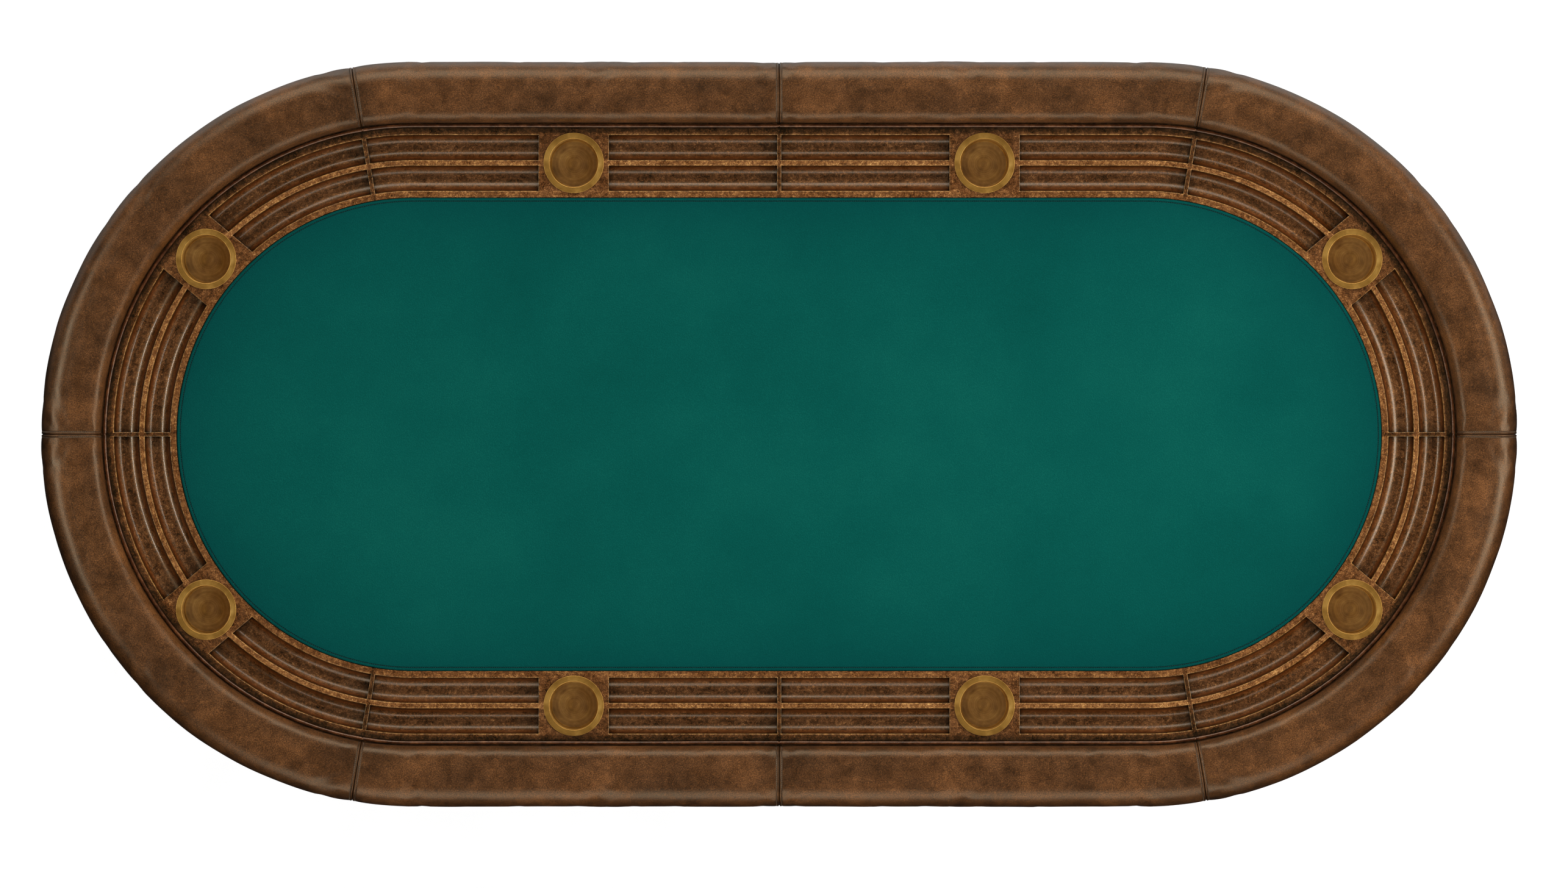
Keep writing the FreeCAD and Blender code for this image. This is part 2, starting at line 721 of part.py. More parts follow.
def pedestal_column():
    """One post: foot tenon, square block with the stretcher's mortise, turned shaft, neck block, head tenon."""
    foot_tenon = cylinder(FOOT_TENON_RADIUS, PEDESTAL_X, 0, (FOOT_TOP - FOOT_TENON_LENGTH, FOOT_TOP))
    head_tenon = cylinder(HEAD_TENON_RADIUS, PEDESTAL_X, 0, (HEAD_BOTTOM, HEAD_BOTTOM + HEAD_TENON_LENGTH))
    block = square_block(BLOCK_HALF, FOOT_TOP, BLOCK_TOP, 6.0)
    neck = square_block(NECK_BLOCK_HALF, NECK_BLOCK_BOTTOM, HEAD_BOTTOM, 5.0)
    mortise = box(
        (PEDESTAL_X - BLOCK_HALF - 1, PEDESTAL_X + BLOCK_HALF + 1),
        (-TENON_THICKNESS / 2 - GAP, TENON_THICKNESS / 2 + GAP),
        (STRETCHER_Z - TENON_HEIGHT / 2 - GAP, STRETCHER_Z + TENON_HEIGHT / 2 + GAP),
    )
    return solid(turned_shaft().fuse([foot_tenon, head_tenon, block, neck]).cut(mortise))


def wedge(slack=0.0):
    """The tapered key outside the right column, driven down through the stretcher's tenon."""
    face = PEDESTAL_X + BLOCK_HALF + GAP
    top, bottom = STRETCHER_Z + WEDGE_HALF_LENGTH, STRETCHER_Z - WEDGE_HALF_LENGTH
    corners = [
        (face - slack, top),
        (face + WEDGE_TOP_DEPTH + slack, top),
        (face + WEDGE_BOTTOM_DEPTH + slack, bottom),
        (face - slack, bottom),
    ]
    half = WEDGE_THICKNESS / 2 + slack
    points = [Vector(x, -half, z) for x, z in corners]
    blank = Part.Face(Part.makePolygon([*points, points[0]])).extrude(Vector(0, 2 * half, 0))
    return blank if slack else blank.makeChamfer(1.5, blank.Edges)


def stretcher():
    """The long beam between the columns, with a tenon through each."""
    shoulder = PEDESTAL_X - BLOCK_HALF - GAP
    tip = PEDESTAL_X + BLOCK_HALF + TENON_REACH
    half_t, half_h = STRETCHER_THICKNESS / 2, STRETCHER_HEIGHT / 2
    body = box((-shoulder, shoulder), (-half_t, half_t), (STRETCHER_Z - half_h, STRETCHER_Z + half_h))
    lengthways = [e for e in body.Edges if abs(e.Vertexes[0].X - e.Vertexes[1].X) > 1]
    body = body.makeFillet(5.0, lengthways)
    tenon = box(
        (-tip, tip),
        (-TENON_THICKNESS / 2, TENON_THICKNESS / 2),
        (STRETCHER_Z - TENON_HEIGHT / 2, STRETCHER_Z + TENON_HEIGHT / 2),
    )
    tenon = tenon.makeChamfer(5.0, [e for e in tenon.Edges if e.BoundBox.XLength < 1])
    slot = wedge(slack=GAP / 2)
    return solid(body.fuse(tenon).cut([slot, mirrored(slot, -1, 1)]))


def leveller_parts():
    """Pad, stem and threaded insert of each levelling foot."""
    x, y = PEDESTAL_X, LEVELLER_Y
    pad = cylinder(PAD_RADIUS, x, y, (PAD_BOTTOM, PAD_TOP))
    rim = [e for e in pad.Edges if e.Closed and abs(e.Vertexes[0].Z - PAD_TOP) < 1e-6]
    pad = pad.makeFillet(2.5, rim)
    socket = cylinder(STEM_NECK_RADIUS + RUNNING_CLEARANCE, x, y, (STEM_NECK_BOTTOM, PAD_TOP))
    neck = cylinder(STEM_NECK_RADIUS, x, y, (STEM_NECK_BOTTOM + 0.1, PAD_TOP + 0.3))
    nut = hexagon(HEX_ACROSS_CORNERS, x, y, (PAD_TOP + 0.2, PAD_TOP + 0.2 + HEX_HEIGHT))
    thread = cylinder(STEM_RADIUS, x, y, (PAD_TOP + 1, STEM_TOP))
    stem = solid(neck.fuse([nut, thread]))
    insert_top = RECESS_TOP + INSERT_LENGTH
    sleeve = cylinder(INSERT_RADIUS - RUNNING_CLEARANCE, x, y, (RECESS_TOP, insert_top - 0.5))
    bore = cylinder(STEM_RADIUS + RUNNING_CLEARANCE, x, y, (RECESS_TOP, insert_top))
    pads, stems = in_every_quarter(pad.cut(socket)), in_every_quarter(stem)
    parts = {"leveller_inserts": in_every_quarter(sleeve.cut(bore))}
    names = ("back_right", "front_right", "front_left", "back_left")
    for name, one_pad, one_stem in zip(names, pads, stems):
        parts[f"leveller_pad_{name}"] = [one_pad]
        parts[f"leveller_stem_{name}"] = [one_stem]
    return parts


def base_parts():
    head, column, foot = pedestal_head(), pedestal_column(), pedestal_foot()
    parts = {"stretcher": [stretcher()], "stretcher_wedges": [wedge(), mirrored(wedge(), -1, 1)]}
    for side, sign in (("right", 1), ("left", -1)):
        parts[f"pedestal_head_{side}"] = [mirrored(head, sign, 1)]
        parts[f"pedestal_column_{side}"] = [mirrored(column, sign, 1)]
        parts[f"pedestal_foot_{side}"] = [mirrored(foot, sign, 1)]
    parts["pedestal_bolts"] = at_head_bolts(bolt)
    parts.update(leveller_parts())
    return parts


# ---- Assembly ----


def all_parts():
    return {
        **armrest_parts(),
        **rail_parts(),
        **playing_parts(),
        "deck_board": [deck()],
        "deck_screws": cup_screws() + board_screws() + frame_screws(),
        **apron_parts(),
        "apron_blocks": corner_blocks(),
        **frame_parts(),
        **base_parts(),
    }


def main():
    os.makedirs("parts", exist_ok=True)
    for name, shapes in all_parts().items():
        solids = [s for shape in shapes for s in shape.Solids]
        assert solids and all(s.isValid() and s.Volume > 0 for s in solids), name
        whole = solids[0] if len(solids) == 1 else Part.makeCompound(solids)
        whole.exportStep(os.path.join("parts", f"{name}.step"))
        print(f"{name}: {len(solids)} solid(s), {sum(s.Volume for s in solids) / 1000:.1f} cm3")


main()
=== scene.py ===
"""Looks of the racetrack poker table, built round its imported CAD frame. Metres, +Z up, origin on the floor.

The top is a racetrack, so most pieces are one cross section carried along one track. A station of the
track is a pair (cx, turn): the point at radius r stands at x = cx + r sin(turn), y = r cos(turn). Turn runs
clockwise from above, from 0 on the back straight through a half turn on the front straight to a full turn.
Seats are numbered the same way, from seat 1 on the right half of the back side.
"""

import math

import bpy
import numpy as np
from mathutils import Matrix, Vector


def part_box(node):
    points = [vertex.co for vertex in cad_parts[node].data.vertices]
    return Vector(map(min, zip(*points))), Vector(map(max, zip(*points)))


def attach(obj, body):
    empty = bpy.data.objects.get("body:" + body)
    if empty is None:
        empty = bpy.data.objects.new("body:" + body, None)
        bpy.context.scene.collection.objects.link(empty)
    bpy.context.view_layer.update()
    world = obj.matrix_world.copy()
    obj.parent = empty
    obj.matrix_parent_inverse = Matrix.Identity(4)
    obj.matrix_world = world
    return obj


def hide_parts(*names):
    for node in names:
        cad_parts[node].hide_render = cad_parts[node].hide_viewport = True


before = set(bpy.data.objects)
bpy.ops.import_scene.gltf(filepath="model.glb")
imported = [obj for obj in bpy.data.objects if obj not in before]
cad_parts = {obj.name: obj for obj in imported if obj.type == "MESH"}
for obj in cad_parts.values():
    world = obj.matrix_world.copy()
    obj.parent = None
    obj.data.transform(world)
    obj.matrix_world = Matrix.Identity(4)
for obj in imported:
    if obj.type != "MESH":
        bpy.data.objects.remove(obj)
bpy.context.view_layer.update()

MM = 0.001

# Sizes read from the frame.
rail_low, rail_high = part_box("chip_rail_1")
cloth_low, cloth_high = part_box("playing_cloth")
cover_low, cover_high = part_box("armrest_cover_1")
welt_low, welt_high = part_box("armrest_welt")
HALF_STRAIGHT = cloth_high.x - cloth_high.y
RAIL_OUTER = rail_high.y
SEAM_TURN = math.asin((rail_high.x - HALF_STRAIGHT) / RAIL_OUTER)
RAIL_INNER = rail_low.y / math.cos(SEAM_TURN)
RAIL_TOP = rail_high.z
RAIL_BOTTOM = rail_low.z
CLOTH_RADIUS = cloth_high.y
CLOTH_TOP = cloth_high.z
CLOTH_BOTTOM = cloth_low.z
ARMREST_OUTER = cover_high.y
ARMREST_INNER = cover_low.y / math.cos(SEAM_TURN)
ARMREST_TOP = cover_high.z
ARMREST_BOTTOM = cover_low.z
WELT_RADIUS = (welt_high.z - welt_low.z) / 2
WELT_TRACK = welt_high.y - WELT_RADIUS
FULL_TURN = 2 * math.pi
SEATS = range(1, 9)
CUPS = {n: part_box(f"cup_holder_{n}") for n in SEATS}
CUP_FLANGE_RADIUS = (CUPS[1][1].x - CUPS[1][0].x) / 2
RAIL_MIDDLE = (CUPS[1][1].y + CUPS[1][0].y) / 2

# Sizes of the looks, on top of the frame's.
LEATHER = 2.0 * MM
CLOTH_SKIN = 2.0 * MM
INNER_ROUND = 24.0 * MM
OUTER_ROUND = 38.2 * MM
UNDER_ROUND = 16.0 * MM
CROWN_RISE = 1.5 * MM
HEM_WIDTH = 30.0 * MM
STITCH_PITCH = 3.3 * MM
STITCH_LENGTH = 2.7 * MM
SEAM_STITCH_OFFSET = 4.2 * MM
TROUGH_HALF_WIDTH = 21.1 * MM
TROUGH_DEPTH = 18.5 * MM
TROUGH_SPREAD = 25.35 * MM
RIM_SOFTNESS = 0.7 * MM
DIVIDER_HALF = 3.5 * MM
CUP_PAD_HALF = 58.0 * MM
CUP_HOLE_RADIUS = 42.0 * MM
CUP_WALL = 1.5 * MM
SHARP_ANGLE = math.radians(55)


# ---- Track ----


def track_length(radius):
    """The whole way round, at a radius."""
    return 4 * HALF_STRAIGHT + FULL_TURN * radius


def stations(distance, radius):
    """(cx, turn) at distances along the track, measured at that radius from the back straight's middle."""
    bend = math.pi * radius
    knots = np.cumsum([0, HALF_STRAIGHT, bend, 2 * HALF_STRAIGHT, bend, HALF_STRAIGHT])
    cx = np.interp(distance, knots, np.array([0, 1, 1, -1, -1, 0]) * HALF_STRAIGHT)
    turn = np.interp(distance, knots, np.array([0, 0, 0.5, 0.5, 1, 1]) * FULL_TURN)
    return cx, turn


def on_track(cx, turn, radius, height):
    """Points of the track as an array whose last axis is x, y, z."""
    x = cx + radius * np.sin(turn)
    y = radius * np.cos(turn)
    return np.stack(np.broadcast_arrays(x, y, height), axis=-1)


def seat_span(seat, radius):
    """Where a seat starts and ends along the track, measured at that radius."""
    quarter = HALF_STRAIGHT + radius * math.pi / 2
    to_seam = HALF_STRAIGHT + radius * SEAM_TURN
    splits = [0, to_seam, quarter, 2 * quarter - to_seam]
    splits += [s + 2 * quarter for s in splits]
    splits.append(4 * quarter)
    return splits[seat - 1], splits[seat]


def waves(a, b, wavelength, seed):
    """A smooth random ripple between about -1 and 1 over coordinates a and b."""
    rng = np.random.default_rng(seed)
    total = np.zeros(np.broadcast(a, b).shape)
    count = 7
    for _ in range(count):
        heading = rng.uniform(0, FULL_TURN)
        pitch = wavelength * rng.uniform(0.7, 1.5)
        phase = rng.uniform(0, FULL_TURN)
        along = a * math.cos(heading) + b * math.sin(heading)
        total += np.sin(FULL_TURN * along / pitch + phase)
    return total / math.sqrt(count) / 1.6


def bell(x, width):
    """1 where x is 0, falling smoothly to nothing on both sides within about two widths."""
    return np.exp(-((x / width) ** 2))


def fade(x, reach):
    """1 where x is 0, dying away over the reach."""
    return np.exp(-x / reach)


# ---- Mesh helpers ----


def mesh_piece(name, points, faces, material, attributes=None, smooth=True):
    """A mesh object from points and faces, with float or vector values per point."""
    mesh = bpy.data.meshes.new(name)
    mesh.from_pydata(np.asarray(points, float).tolist(), [], faces)
    mesh.validate()
    if smooth:
        mesh.shade_smooth()
        mesh.set_sharp_from_angle(angle=SHARP_ANGLE)
    for key, values in (attributes or {}).items():
        values = np.asarray(values, np.float32)
        kind, slot = ("FLOAT", "value") if values.ndim == 1 else ("FLOAT_VECTOR", "vector")
        mesh.attributes.new(key, kind, "POINT").data.foreach_set(slot, values.ravel())
    mesh.materials.append(material)
    piece = bpy.data.objects.new(name, mesh)
    bpy.context.scene.collection.objects.link(piece)
    return piece


def grid_faces(rows, columns, close_rows=False, close_columns=False):
    """Quads over a grid of points stored row by row, joined round where it closes."""
    last_row = rows if close_rows else rows - 1
    last_column = columns if close_columns else columns - 1
    i, j = np.meshgrid(np.arange(last_row), np.arange(last_column), indexing="ij")
    i, j = i.ravel(), j.ravel()
    i2, j2 = (i + 1) % rows, (j + 1) % columns
    corners = [i * columns + j, i2 * columns + j, i2 * columns + j2, i * columns + j2]
    return np.stack(corners, axis=1).tolist()


def sweep(name, ring, material, attributes=None, closed=False):
    """A solid from rings of points, an array of shape (stations, points, 3), closed or with flat ends.

    Each attribute has one float per point of the rings.
    """
    count, size, _ = ring.shape
    faces = grid_faces(count, size, close_rows=closed, close_columns=True)
    if not closed:
        faces.append(list(range(size)))
        faces.append(list(range((count - 1) * size, count * size))[::-1])
    flat = {key: np.ravel(values) for key, values in (attributes or {}).items()}
    return mesh_piece(name, ring.reshape(-1, 3), faces, material, flat)


def ride_table(piece, slot_name, *nodes):
    """The piece rides on the table, and stands for those CAD nodes."""
    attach(piece, "table")
    if nodes:
        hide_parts(*nodes)


def arc_points(centre, radius, start, end, count):
    """Points of an arc in the (radius, height) plane, with angles in degrees from the radius axis."""
    angles = np.radians(np.linspace(start, end, count))
    return np.stack([centre[0] + radius * np.cos(angles), centre[1] + radius * np.sin(angles)], axis=1)


# ---- Material helpers ----

# Where a mix node of colours keeps its factor, its two colours and its result.
MIX_FACTOR, MIX_A, MIX_B, MIX_RESULT = 0, 6, 7, 2


class Nodes:
    """Writes one material, or the world: each method adds a node and returns its output socket.

    Texture scales are in features per metre, and colours are sRGB in 0..255.
    """

    def __init__(self, name, kind="materials"):
        self.owner = getattr(bpy.data, kind).new(name)
        self.owner.use_nodes = True
        self.tree = self.owner.node_tree
        self.tree.nodes.clear()

    def add(self, kind, inputs=None, output=0, **settings):
        node = self.tree.nodes.new(kind)
        for key, value in settings.items():
            setattr(node, key, value)
        for key, value in (inputs or {}).items():
            if isinstance(value, bpy.types.NodeSocket):
                self.tree.links.new(value, node.inputs[key])
            else:
                node.inputs[key].default_value = value
        return None if output is None else node.outputs[output]

    def place(self):
        return self.add("ShaderNodeTexCoord", output="Object")

    def stretched(self, vector, scale):
        return self.add("ShaderNodeMapping", {"Vector": vector, "Scale": scale})

    def parts(self, vector):
        """The X, Y and Z outputs of a vector."""
        return self.add("ShaderNodeSeparateXYZ", {0: vector}).node.outputs

    def attribute(self, name, output="Fac"):
        return self.add("ShaderNodeAttribute", output=output, attribute_name=name)

    def noise(self, vector, scale, detail=3.0, roughness=0.55, distortion=0.0):
        shape = {"Scale": scale, "Detail": detail, "Roughness": roughness, "Distortion": distortion}
        return self.add("ShaderNodeTexNoise", {"Vector": vector, **shape})

    def cells(self, vector, scale, feature="F1", smoothness=None):
        inputs = {"Vector": vector, "Scale": scale}
        if smoothness is not None:
            inputs["Smoothness"] = smoothness
        return self.add("ShaderNodeTexVoronoi", inputs, output="Distance", feature=feature)

    def math(self, operation, a, b=0.0, clamp=False):
        return self.add("ShaderNodeMath", {0: a, 1: b}, operation=operation, use_clamp=clamp)

    def times(self, a, b, clamp=False):
        return self.math("MULTIPLY", a, b, clamp)

    def less(self, a, b, clamp=False):
        return self.math("SUBTRACT", a, b, clamp)

    def total(self, *parts):
        """The sum of (value, weight) parts."""
        weighted = [self.times(value, weight) for value, weight in parts]
        result = weighted[0]
        for part in weighted[1:]:
            result = self.math("ADD", result, part)
        return result

    def span(self, value, low, high, to_low=0.0, to_high=1.0):
        """The value carried smoothly from low..high to to_low..to_high, clamped."""
        inputs = {"Value": value, "From Min": low, "From Max": high, "To Min": to_low, "To Max": to_high}
        return self.add("ShaderNodeMapRange", inputs, interpolation_type="SMOOTHSTEP")

    def ramp(self, value, *stops):
        """A colour ramp through (position, colour) stops."""
        node = self.tree.nodes.new("ShaderNodeValToRGB")
        self.tree.links.new(value, node.inputs[0])
        elements = node.color_ramp.elements
        while len(elements) < len(stops):
            elements.new(0.5)
        for element, (position, colour) in zip(elements, stops):
            element.position = position
            element.color = linear(colour)
        return node.outputs[0]

    def mix(self, factor, a, b):
        """Colour a turning into colour b, each a socket or a colour."""
        a, b = (linear(c) if isinstance(c, tuple) else c for c in (a, b))
        inputs = {MIX_FACTOR: factor, MIX_A: a, MIX_B: b}
        return self.add("ShaderNodeMix", inputs, output=MIX_RESULT, data_type="RGBA")

    def tint_with(self, colour, where, strength, tint_with):
        """The colour tinted towards another one, as strongly as the mask and the strength say."""
        return self.mix(self.times(where, strength), colour, tint_with)

    def bump(self, height, distance, strength=1.0):
        return self.add("ShaderNodeBump", {"Height": height, "Distance": distance, "Strength": strength})

    def finish(self, colour, roughness, normal=None, **extra):
        """Ends the material with one principled surface. Underscores in extra inputs' names are spaces."""
        inputs = {"Base Color": colour, "Roughness": roughness}
        if normal is not None:
            inputs["Normal"] = normal
        inputs.update({name.replace("_", " "): value for name, value in extra.items()})
        shader = self.add("ShaderNodeBsdfPrincipled", inputs)
        self.add("ShaderNodeOutputMaterial", {"Surface": shader}, output=None)
        return self.owner


def linear(colour):
    """A colour as the linear RGBA that nodes take."""
    parts = [c / 255 for c in colour]
    return tuple(c / 12.92 if c <= 0.04045 else ((c + 0.055) / 1.055) ** 2.4 for c in parts) + (1.0,)


# ---- Materials ----


def armrest_leather():
    """Hand-rubbed brown leather: cloudy tan over dark brown, darker by the seams, with painted shade towards
    the hem.
    """
    n = Nodes("armrest_leather")
    place = n.place()
    clouds = n.noise(place, 9.0, 4.0, 0.6, 0.3)
    patches = n.noise(place, 34.0, 5.0, 0.66, 0.3)
    speckle = n.noise(place, 560.0, 3.0, 0.66)
    tone = n.total((clouds, 0.30), (patches, 0.28), (speckle, 0.56))
    browns = ((0.45, (46, 26, 10)), (0.54, (74, 43, 18)), (0.61, (97, 58, 26)), (0.72, (134, 83, 40)))
    colour = n.ramp(tone, *browns)
    flecks = n.span(n.noise(place, 260.0, 4.0, 0.7), 0.52, 0.72)
    colour = n.tint_with(colour, flecks, 0.24, (156, 92, 36))
    pores = n.span(n.noise(place, 620.0, 2.0, 0.5), 0.58, 0.70)
    colour = n.tint_with(colour, pores, 0.45, (40, 22, 9))
    uneven = n.span(n.noise(place, 70.0, 4.0), 0.30, 0.65, 0.65, 1.2)
    # Darker beside the seams, and painted shade in the seam grooves and stitch lines, at the inner foot and
    # on the outer side facing down.
    colour = n.mix(n.times(n.attribute("burnish_and_shade"), uneven, clamp=True), colour, (24, 11, 4))
    grain = n.cells(place, 520.0, "SMOOTH_F1", 0.4)
    creases = n.noise(place, 90.0, 4.0, 0.6, 1.2)
    normal = n.bump(n.total((grain, 0.34), (creases, 0.5)), 0.4 * MM, 0.6)
    roughness = n.span(patches, 0.3, 0.7, 0.33, 0.43)
    warm = linear((255, 226, 186))
    return n.finish(colour, roughness, normal, Specular_IOR_Level=0.62, Specular_Tint=warm)


def welt_leather():
    """Polished dark leather of the cord, rubbed lighter in places."""
    n = Nodes("welt_leather")
    place = n.place()
    tone = n.noise(place, 90.0, 5.0, 0.65)
    colour = n.ramp(tone, (0.3, (38, 17, 6)), (0.5, (78, 40, 18)), (0.7, (122, 72, 38)))
    normal = n.bump(n.noise(place, 700.0, 3.0), 0.15 * MM, 0.5)
    warm = linear((255, 222, 180))
    polish = {"Specular_IOR_Level": 0.8, "Specular_Tint": warm, "Coat_Weight": 0.6, "Coat_Roughness": 0.14}
    return n.finish(colour, 0.28, normal, **polish)


def antiqued_rail():
    """Antiqued brown finish: worn golden edges and flats, partly painted highlight, with painted shade in the
    hollows, mottled all over.
    """
    n = Nodes("rail_finish")
    place = n.place()
    track = n.attribute("track", "Vector")
    streak = n.noise(n.stretched(track, (14.0, 230.0, 60.0)), 1.0, 4.0, 0.6, 0.2)
    blotch = n.noise(place, 46.0, 5.0, 0.68, 0.5)
    mottle = n.noise(place, 210.0, 5.0, 0.75, 0.3)
    speckle = n.noise(place, 640.0, 2.0, 0.6)
    uneven = ((streak, 0.35), (blotch, 0.50), (mottle, 1.15), (speckle, 0.90))
    tone = n.total((n.attribute("tone"), 1.0), *uneven)
    average = 1.44
    tone = n.less(tone, average)
    dark = ((0.05, (15, 8, 2)), (0.25, (40, 23, 7)), (0.45, (84, 46, 17)))
    light = ((0.62, (120, 73, 35)), (0.80, (168, 113, 60)), (1.00, (228, 176, 104)))
    colour = n.ramp(tone, *dark, *light)
    colour = n.tint_with(colour, n.attribute("red"), 0.5, (112, 52, 12))
    # Golden lines along the rims and the tops of the end walls: rubbed-through wear, and partly a painted
    # highlight.
    edge_wear_and_highlight = n.span(mottle, 0.42, 0.60, 0.15, 1.0)
    colour = n.tint_with(colour, n.attribute("edge"), edge_wear_and_highlight, (222, 166, 92))
    # Painted shade, near black: at the channels' end walls, under their rims and beside the welt.
    colour = n.mix(n.attribute("painted_shade"), colour, (7, 3, 1))
    normal = n.bump(n.total((mottle, 0.8), (streak, 0.5)), 0.30 * MM, 0.6)
    roughness = n.span(blotch, 0.3, 0.7, 0.25, 0.42)
    warm = linear((255, 218, 168))
    wax = {"Specular_IOR_Level": 0.75, "Specular_Tint": warm, "Coat_Weight": 0.35, "Coat_Roughness": 0.10}
    return n.finish(colour, roughness, normal, **wax)


def brushed_brass():
    """Aged brass spun on a lathe: fine rings and brown patches, brightest on the flange, with painted light
    inside.
    """
    n = Nodes("cup_brass")
    place = n.place()
    flat = n.add("ShaderNodeVectorMath", {0: place, 1: (1, 1, 0)}, operation="MULTIPLY")
    radius = n.add("ShaderNodeVectorMath", {0: flat}, output="Value", operation="LENGTH")
    rings = n.add("ShaderNodeCombineXYZ", {"X": n.times(radius, 1400.0)})
    fine = n.noise(rings, 1.0, 3.0, 0.7)
    broad = n.noise(rings, 0.16, 2.0, 0.5)
    patch = n.noise(place, 38.0, 4.0, 0.6, 0.4)
    tone = n.total((patch, 0.46), (fine, 0.34), (broad, 0.20))
    colour = n.ramp(tone, (0.34, (142, 98, 38)), (0.50, (182, 134, 58)), (0.66, (216, 170, 88)))
    # Painted light: inside the cup the brass is lighter and less metallic, to make up for the shade in its
    # depth.
    inside_lightened = n.ramp(tone, (0.36, (130, 92, 40)), (0.50, (186, 140, 66)), (0.64, (226, 184, 98)))
    inside = n.attribute("inside")
    colour = n.mix(inside, colour, inside_lightened)
    metal = n.span(inside, 0.0, 1.0, 0.62, 0.30)
    normal = n.bump(fine, 0.06 * MM, 0.6)
    roughness = n.span(patch, 0.3, 0.7, 0.30, 0.44)
    tangent = n.add("ShaderNodeTangent", direction_type="RADIAL", axis="Z")
    return n.finish(colour, roughness, normal, Metallic=metal, Anisotropic=0.6, Tangent=tangent)


def playing_cloth_material():
    """Fine-grained green cloth, a little darker round its rim, with painted shade in its sewn groove."""
    n = Nodes("playing_cloth")
    place = n.place()
    clouds = n.noise(place, 3.2, 4.0, 0.6)
    grain = n.cells(place, 560.0, "SMOOTH_F1", 0.5)
    fibre = n.noise(place, 1100.0, 2.0, 0.6)
    rim = n.attribute("rim")
    tone = n.total((clouds, 0.45), (grain, 0.20), (fibre, 0.35))
    colour = n.ramp(tone, (0.28, (0, 69, 61)), (0.50, (3, 82, 73)), (0.72, (13, 96, 83)))
    colour = n.tint_with(colour, rim, 0.7, (0, 62, 60))
    # Painted shade in the sewn groove.
    colour = n.mix(n.attribute("painted_shade"), colour, (1, 18, 17))
    normal = n.bump(n.total((grain, 0.6), (fibre, 0.3)), 0.7 * MM, 1.0)
    return n.finish(colour, 0.7, normal, Specular_IOR_Level=0.03)


def thread(name, dark, light):
    """Twisted sewing thread between two colours."""
    n = Nodes(name)
    twist = n.add("ShaderNodeTexWave", {"Vector": n.place(), "Scale": 900.0, "Distortion": 1.5})
    colour = n.mix(twist, dark, light)
    return n.finish(colour, 0.6, n.bump(twist, 0.08 * MM, 0.6))


# How much finer the wood's figure is across its grain than along it, on each axis.
GRAIN = {"x": (1.0, 14.0, 14.0), "y": (14.0, 1.0, 14.0), "z": (14.0, 14.0, 1.0), "track": (1.0, 14.0, 14.0)}


def stained_wood(grain_axis):
    """Dark stained hardwood with its grain along one axis, or along the bent track."""
    n = Nodes(f"base_wood_{grain_axis}")
    place = n.place()
    along = bent_coordinates(n, place) if grain_axis == "track" else place
    scale = GRAIN[grain_axis]
    warp = n.noise(n.stretched(along, tuple(0.35 * s for s in scale)), 2.2, 3.0, 0.5)
    figure = n.noise(n.stretched(along, scale), 3.0, 6.0, 0.62, 0.6)
    rays = n.noise(n.stretched(along, tuple(6.0 * s for s in scale)), 3.0, 3.0, 0.6)
    wear = n.noise(place, 14.0, 4.0, 0.6)
    tone = n.total((figure, 0.55), (warp, 0.25), (wear, 0.22))
    browns = ((0.34, (36, 18, 8)), (0.48, (62, 33, 16)), (0.60, (88, 49, 25)), (0.76, (118, 70, 38)))
    colour = n.ramp(tone, *browns)
    pores = n.span(rays, 0.56, 0.70)
    colour = n.tint_with(colour, pores, 0.55, (22, 10, 4))
    height = n.less(n.times(figure, 0.4), n.times(pores, 0.6))
    normal = n.bump(height, 0.25 * MM, 0.5)
    roughness = n.span(wear, 0.3, 0.7, 0.32, 0.46)
    return n.finish(colour, roughness, normal, Coat_Weight=0.25, Coat_Roughness=0.22)


def bent_coordinates(n, place):
    """Distance round the table's end, distance out from its centre, and height."""
    parts = n.parts(place)
    x = n.less(n.math("ABSOLUTE", parts["X"]), HALF_STRAIGHT)
    y = parts["Y"]
    turn = n.math("ARCTAN2", x, y)
    radius = n.math("SQRT", n.math("ADD", n.times(x, x), n.times(y, y)))
    around = n.times(turn, ARMREST_OUTER)
    return n.add("ShaderNodeCombineXYZ", {"X": around, "Y": radius, "Z": parts["Z"]})


def plywood():
    """Birch plywood: pale plies seen as stripes on its edges, and open grain on its faces."""
    n = Nodes("plywood")
    place = n.place()
    plies = {"Vector": place, "Scale": 105.0, "Distortion": 0.4}
    layers = n.add("ShaderNodeTexWave", plies, output="Fac", bands_direction="Z")
    figure = n.noise(n.stretched(place, (2.0, 26.0, 26.0)), 3.0, 5.0, 0.6, 0.5)
    colour = n.ramp(figure, (0.3, (150, 112, 72)), (0.5, (178, 140, 95)), (0.7, (200, 166, 120)))
    up = n.parts(n.add("ShaderNodeNewGeometry", output="Normal"))["Z"]
    on_edge = n.less(1.0, n.math("ABSOLUTE", up), clamp=True)
    colour = n.tint_with(colour, on_edge, n.times(layers, 0.6), (104, 70, 40))
    return n.finish(colour, 0.62, n.bump(figure, 0.2 * MM, 0.4))


def foam():
    """Pale open-celled upholstery foam."""
    n = Nodes("upholstery_foam")
    cells = n.cells(n.place(), 700.0)
    colour = n.ramp(cells, (0.2, (196, 178, 132)), (0.7, (222, 208, 170)))
    return n.finish(colour, 0.9, n.bump(cells, 0.4 * MM, 0.8))


def steel():
    """Zinc-plated steel, slightly clouded."""
    n = Nodes("zinc_steel")
    tone = n.noise(n.place(), 180.0, 4.0, 0.6)
    colour = n.ramp(tone, (0.3, (128, 126, 120)), (0.7, (176, 174, 168)))
    return n.finish(colour, n.span(tone, 0.3, 0.7, 0.28, 0.45), n.bump(tone, 0.05 * MM, 0.4), Metallic=1.0)


def rubber():
    """Black moulded rubber."""
    n = Nodes("pad_rubber")
    tone = n.noise(n.place(), 400.0, 3.0, 0.6)
    colour = n.ramp(tone, (0.3, (20, 20, 20)), (0.7, (38, 38, 38)))
    return n.finish(colour, 0.75, n.bump(tone, 0.2 * MM, 0.5))


# ---- Armrest ----


